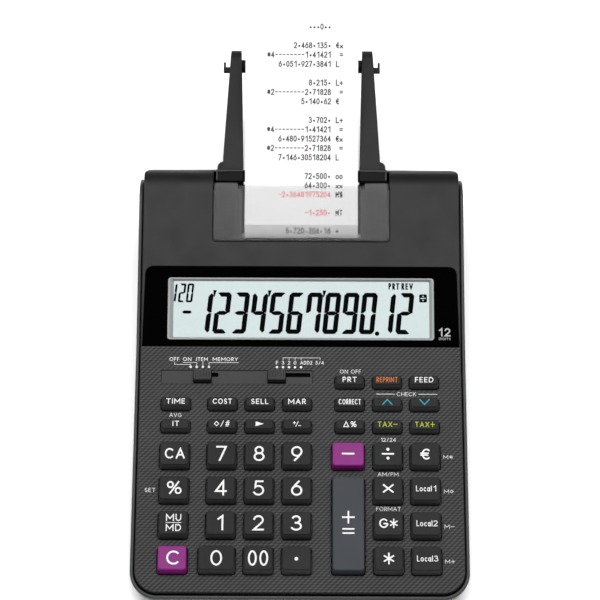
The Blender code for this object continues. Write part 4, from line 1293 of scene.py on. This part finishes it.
def make_holder():
    y, z = ROLL
    outline = [(217.8, 45), (218.8, 45), (218.8, 50.4), (220.6, 49.4), (223, 47.3)] + arc(
        y, z, ARM_TIP, ARM_TIP, -100, 100, 20) + [(224, 55.3), (217.8, 52.2)]

    def arm(side, share):
        """Outline of an arm at its inner (0) or outer (1) face; both faces taper to the rear."""
        loop = []
        for py, pz in outline:
            run = max(0, py - 222) / (y - 222)
            inner, outer = (a + (b - a) * run for a, b in (ARM_INNER, ARM_OUTER))
            loop.append(place(side * (inner + (outer - inner) * share), py, pz))
        return loop

    root = [(213.35, 37.05), (218.85, 37.05), (218.85, 52.85), (213.35, 50.75)]
    # Outline of a thin painted highlight strip along the outer top edge of the root block.
    brow_highlight = [(213.6, 50.2), (213.6, 51.15), (218.3, 52.95), (218.3, 52)]
    hub = [(33, 3.4), (29.2, 3.4), (29.05, 3.25), (29.05, 2.8), (25, 2.8), (24.5, 2.3)]
    hook = [(36, 275.4), (40.6, 275.4), (40.6, 280.6), (39.5, 280.6), (39.5, 277.6), (36, 277.6)]
    gusset = [(38.4, 217.2), (42.9, 217.2), (42.9, 220.2)] + arc(39.6, 220.2, 3.3, 3.4, 0, 90, 10)[1:] + [
        (38.4, 223.8)]
    holder = Shape()
    for side in SIDES:
        def upright(outline, levels, bevel, **options):
            holder.slab(place, [(side * px, py) for px, py in outline], levels, bevel, **options)

        def sideways(outline, inner, outer, bevel, **options):
            holder.slab(across, outline, (side * inner, side * outer), bevel, **options)

        holder.bevelled([arm(side, 0), arm(side, 1)], 0.85, angle=40)
        holder.material = 1
        sideways(root, 29.7, 43.45, 0.35, angle=50)
        # Thin strips of the lighter base plastic standing just proud of the root block's top edges: painted
        # highlight lines along those edges.
        holder.material = 2
        upright(rounded((29.9, 43.3), (217.7, 218.4), 0.15, 2), (52, 53), 0.15)
        sideways(brow_highlight, 42.9, 43.4, 0.12)
        holder.material = 0
        holder.turned(ROLL, [(side * x, r) for x, r in hub], 36)
        upright(hook, (56.4, 58.9), 0.2, angle=50)
        upright(gusset, (50.1, 52.7), 0.4, angle=50)
    holder.slab(across, rounded((213.35, 217.25), (37.05, 40.95), 0.6, 3), (-30.5, 30.5), 0.2,
                angle=50)
    piece("roll_arms", holder, "holder root base", "case", replaces=["roll_holder"])


# ---- inside and underneath

def make_inside():
    board, mat = Shape(), Shape()
    board.slab(KEYS.at, rounded((-67.9, 67.9), (12.1, 118.9), 1.5), (-9.45, -7.95))
    piece("main_board", board, "board", "case", replaces=["circuit_board"])
    mat.slab(KEYS.at, rounded((-69.9, 69.9), (10.6, 117.9), 2.5), (-7.55, -6.9))
    for node in KEY_NODES:
        key = Key(node)
        wide, long = min(4.6, key.half - 1), min(4.6, key.length - 0.5)
        mat.loft([[KEYS.at(x, s, n) for x, s in rounded((key.x - wide + g, key.x + wide - g),
                                                        (key.s - long + g, key.s + long - g), 1.2)]
                  for n, g in ((-7.2, 0), (-6.7, 0.2))])
    piece("key_mat", mat, "membrane", "case", replaces=["key_membrane"])


def make_battery():
    lid, cells, ends = Shape(), Shape(), Shape()
    x, lid_y = BATTERY_X - GAP, (127, 158.7)
    lid.slab(place, rounded((-x, x), lid_y, 0.9, 3), (2.2, 4), 0.25, angle=50)
    for i in range(6):                                                   # thumb grip
        wide, y = 9 - 0.9 * i, lid_y[0] + 4 + 1.6 * i
        lid.slab(place, rounded((-wide, wide), (y - 0.35, y + 0.35), 0.3, 2), (2.2, 2.6), 0.1)
    piece("battery_lid", lid, "base", "battery_cover", replaces=["battery_cover"])

    for i in range(2):
        for j in range(2):
            axis, x0 = (BATTERY_Y[0] + 8.5 + 17.6 * j, 11.4), -51.2 + 52.4 * i
            cells.turned(axis, [(x0, 5.6), (x0 + 0.3, 7), (x0 + 49.5, 7), (x0 + 49.8, 5.6)], 36)
            cap, height = (x0 - 0.3, 0.66) if (i + j) % 2 == 0 else (x0 + 49.5, 1.1)
            ends.turned(axis, [(cap - 0.2, 2.7), (cap + height, 2.5)], 24)
    piece("battery_cells", cells, "cell", "case")
    piece("battery_caps", ends, "brass", "case")


def make_jack():
    jack = Shape()
    x, z, deep = SOCKET[0], SOCKET[1], SOCKET[4]
    for profile, segments in (
            ([(0.2, 3.1), (7.5, 3.1), (7.8, 2.9), (7.8, 2.4), (1.2, 2.4), (1.2, 0.1)], 32),
            ([(0.9, 0.75), (6.6, 0.75), (7.1, 0.4)], 16)):
        jack.tiers(back, lambda radius: circle(x, z, radius, segments), [(deep + y, r) for y, r in profile])
        jack.material = 1
    piece("adapter_jack", jack, "rubber brass", "case")


make_cover()
make_rollers()
make_printer()
make_paper()
make_holder()
make_inside()
make_battery()
make_jack()


# ---- floor, light and camera

FLOOR_HALF = 6               # metres, like the places and sizes of the lights
LIGHTS = {"overhead": ((0, 0.15, 1.5), (1.7, 1.6), 45), "left": ((-1.6, 0.1, 0.9), (1.2, 1.2), 4),
          "right": ((1.6, 0.1, 0.9), (1.2, 1.2), 4), "front": ((0, -1.6, 0.7), (1.4, 0.8), 6)}
LIGHT_TARGET = Vector((0, 0, 0.03))


def make_floor():
    mesh = bpy.data.meshes.new("floor")
    corners = [(x * FLOOR_HALF, y * FLOOR_HALF, 0) for x, y in ((-1, -1), (1, -1), (1, 1), (-1, 1))]
    mesh.from_pydata(corners, [], [(0, 1, 2, 3)])
    look = Look("floor_white")
    look.colour(look.noise(3), (0.90, 0.90, 0.90), (0.93, 0.93, 0.93))
    look.set({"Roughness": 0.9, "Specular IOR Level": 0.1})
    mesh.materials.append(look.material)
    floor = link("floor", mesh)


def make_lights():
    world = bpy.data.worlds.new("studio")
    bpy.context.scene.world = world
    world.use_nodes = True
    sky = world.node_tree.nodes["Background"].inputs
    sky["Color"].default_value, sky["Strength"].default_value = (1, 1, 1, 1), 0.17
    for name, (location, size, power) in LIGHTS.items():
        data = bpy.data.lights.new(name, "AREA")
        data.shape, data.size, data.size_y, data.energy = "RECTANGLE", *size, power
        lamp = link(name, data)
        lamp.location = location
        lamp.rotation_euler = (LIGHT_TARGET - lamp.location).to_track_quat("-Z", "Y").to_euler()


def make_camera():
    aim = place(-0.45, 151.94, 36)
    tilt, roll, distance = math.radians(61), math.radians(0.235), 1.25
    data = bpy.data.cameras.new("camera")
    data.lens, data.sensor_width = 148.9, 36
    camera = link("camera", data)
    camera.location = aim + Vector((0, -math.cos(tilt), math.sin(tilt))) * distance
    turn = Matrix.Rotation(math.radians(90) - tilt, 3, "X") @ Matrix.Rotation(roll, 3, "Z")
    camera.rotation_euler = turn.to_euler()
    bpy.context.scene.camera = camera


make_floor()
make_lights()
make_camera()
bpy.context.scene.view_settings.view_transform = "Standard"
